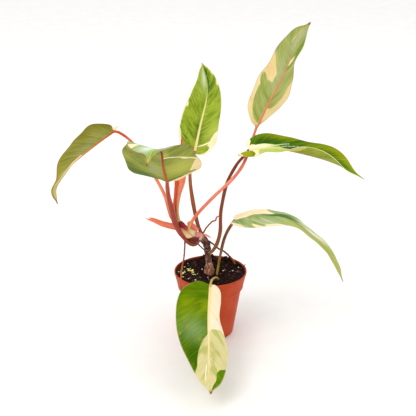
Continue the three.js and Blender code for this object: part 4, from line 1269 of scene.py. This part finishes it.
def scatter(draw, reach, centre):
    """A random spot on the soil, clear of the pot's wall."""
    while True:
        angle, radius = draw.uniform(0, TURN), reach * math.sqrt(draw.uniform())
        x, y = centre[0] + radius * math.cos(angle), centre[1] + radius * math.sin(angle)
        if math.hypot(x, y) < SOIL_TOP_RADIUS - CLEAR_OF_WALL:
            return x, y


def add_grains(name, groups, sizes, stretch, material, seed, sink=0.35, lean=math.pi):
    """Small uneven grains. A group is how many there are, the spot they lie round, and their reach."""
    draw = np.random.default_rng(seed)
    corners, ball_faces = rough_ball()
    points, faces = [], []
    for count, centre, reach in groups:
        for _ in range(count):
            x, y = scatter(draw, reach, centre)
            size = draw.uniform(*sizes)
            uneven = 1 + GRAIN_UNEVENNESS * draw.normal(size=(len(corners), 1))
            form = turned(corners * uneven * size * np.array(stretch), draw, lean)
            faces += [[len(points) * len(corners) + corner for corner in face] for face in ball_faces]
            points.append(form + [x, y, soil_height(x, y) + size * min(stretch) * (1 - 2 * sink)])
    dress(linked(name, make_mesh(name, points, faces)), [material], crease=GRAIN_CREASE)


def grain_paint(name, low, high):
    paint = Paint(name, roughness=0.8)
    spots = paint.noise(paint.place(), 1.2, 4.0, 0.6)
    return paint.finish(paint.ramp(spots, f"35 {low}, 65 {high}"), None, spots, 0.4)


def make_grains():
    everywhere = (0, 0)
    add_grains("peat_crumbs", [(900, everywhere, 53)], (0.5, 1.5), (1.3, 1, 0.8),
               soil_paint("peat_crumb", "#6a4435"), 101)
    add_grains("peat_clods", CLOD_SPOTS, (1.3, 2.6), (1.2, 1, 0.9),
               soil_paint("peat_clod", "#4c2e25"), 106, sink=0.2)
    add_grains("bark_bits", [(90, everywhere, 52)], (0.8, 1.7), (2.4, 0.8, 0.45),
               grain_paint("bark_bit", "#3a221b", "#6a4234"), 102, lean=0.5)
    add_grains("perlite", PERLITE_SPOTS, (0.7, 1.3), (1.1, 1, 0.9),
               grain_paint("perlite_grain", "#ded6c4", "#fbf6ea"), 103)
    add_grains("straw_flakes", FLAKE_SPOTS, (1.0, 1.5), (2.2, 1, 0.5),
               grain_paint("straw_flake", "#d0c860", "#fbf8a4"), 104, sink=0.05, lean=0.3)
    add_grains("bark_slivers", [(7, (26, -8), 22), (3, (-18, -22), 14)], (0.7, 1.0), (5.5, 0.7, 0.5),
               grain_paint("bark_sliver", "#8a5a48", "#c8987c"), 105, lean=0.25)


# Stage, lights and camera
def make_floor():
    size = 12 / MM
    corners = [(-size, -size, 0), (size, -size, 0), (size, size, 0), (-size, size, 0)]
    mesh = make_mesh("studio_floor", corners, [(0, 1, 2, 3)])
    paint = Paint("studio_paper", roughness=0.9, specular=0.1)
    paper = paint.noise(paint.place(), 60, 3.0)
    mesh.materials.append(paint.finish(paint.ramp(paper, "30 #f7f6f4, 70 #fbfaf8")))
    linked("studio_floor", mesh)


def add_light(name, at, size, power, target=(0, 0, 0.25)):
    lamp = bpy.data.lights.new(name, "AREA")
    lamp.shape = "DISK"
    lamp.size = size
    lamp.energy = power
    light = linked(name, lamp)
    light.location = at
    light.rotation_euler = (Vector(target) - Vector(at)).to_track_quat("-Z", "Y").to_euler()


def make_light():
    add_light("key_light", (-1.3, -1.5, 2.3), 1.3, 16)
    add_light("fill_light", (1.8, -1.2, 1.2), 1.6, 5)
    add_light("back_light", (0.5, 1.8, 2.0), 1.4, 6)
    sun = bpy.data.lights.new("even_light", "SUN")
    sun.energy = 0.55
    sun.angle = math.radians(50)
    linked("even_light", sun).rotation_euler = (math.radians(25), math.radians(-25), 0)
    world = bpy.data.worlds.new("studio")
    world.use_nodes = True
    background = world.node_tree.nodes["Background"]
    background.inputs["Color"].default_value = (1, 1, 1, 1)
    background.inputs["Strength"].default_value = 0.95
    bpy.context.scene.world = world
    bpy.context.scene.view_settings.view_transform = "Standard"


def make_camera():
    lens = bpy.data.cameras.new("camera")
    lens.sensor_width = SENSOR_MM
    lens.lens = FOCAL_PIXELS / PHOTO_PIXELS * SENSOR_MM
    lens.clip_start = 0.05
    camera = linked("camera", lens)
    camera.location = CAMERA_AT
    camera.rotation_euler = (math.radians(90 - CAMERA_TILT), 0, 0)
    bpy.context.scene.camera = camera


make_camera()
make_blades()
make_petioles()
make_cane()
make_rolled_leaf()
make_sheaths()
make_roots()
make_twig()
make_pot()
make_soil()
make_grains()
make_floor()
make_light()
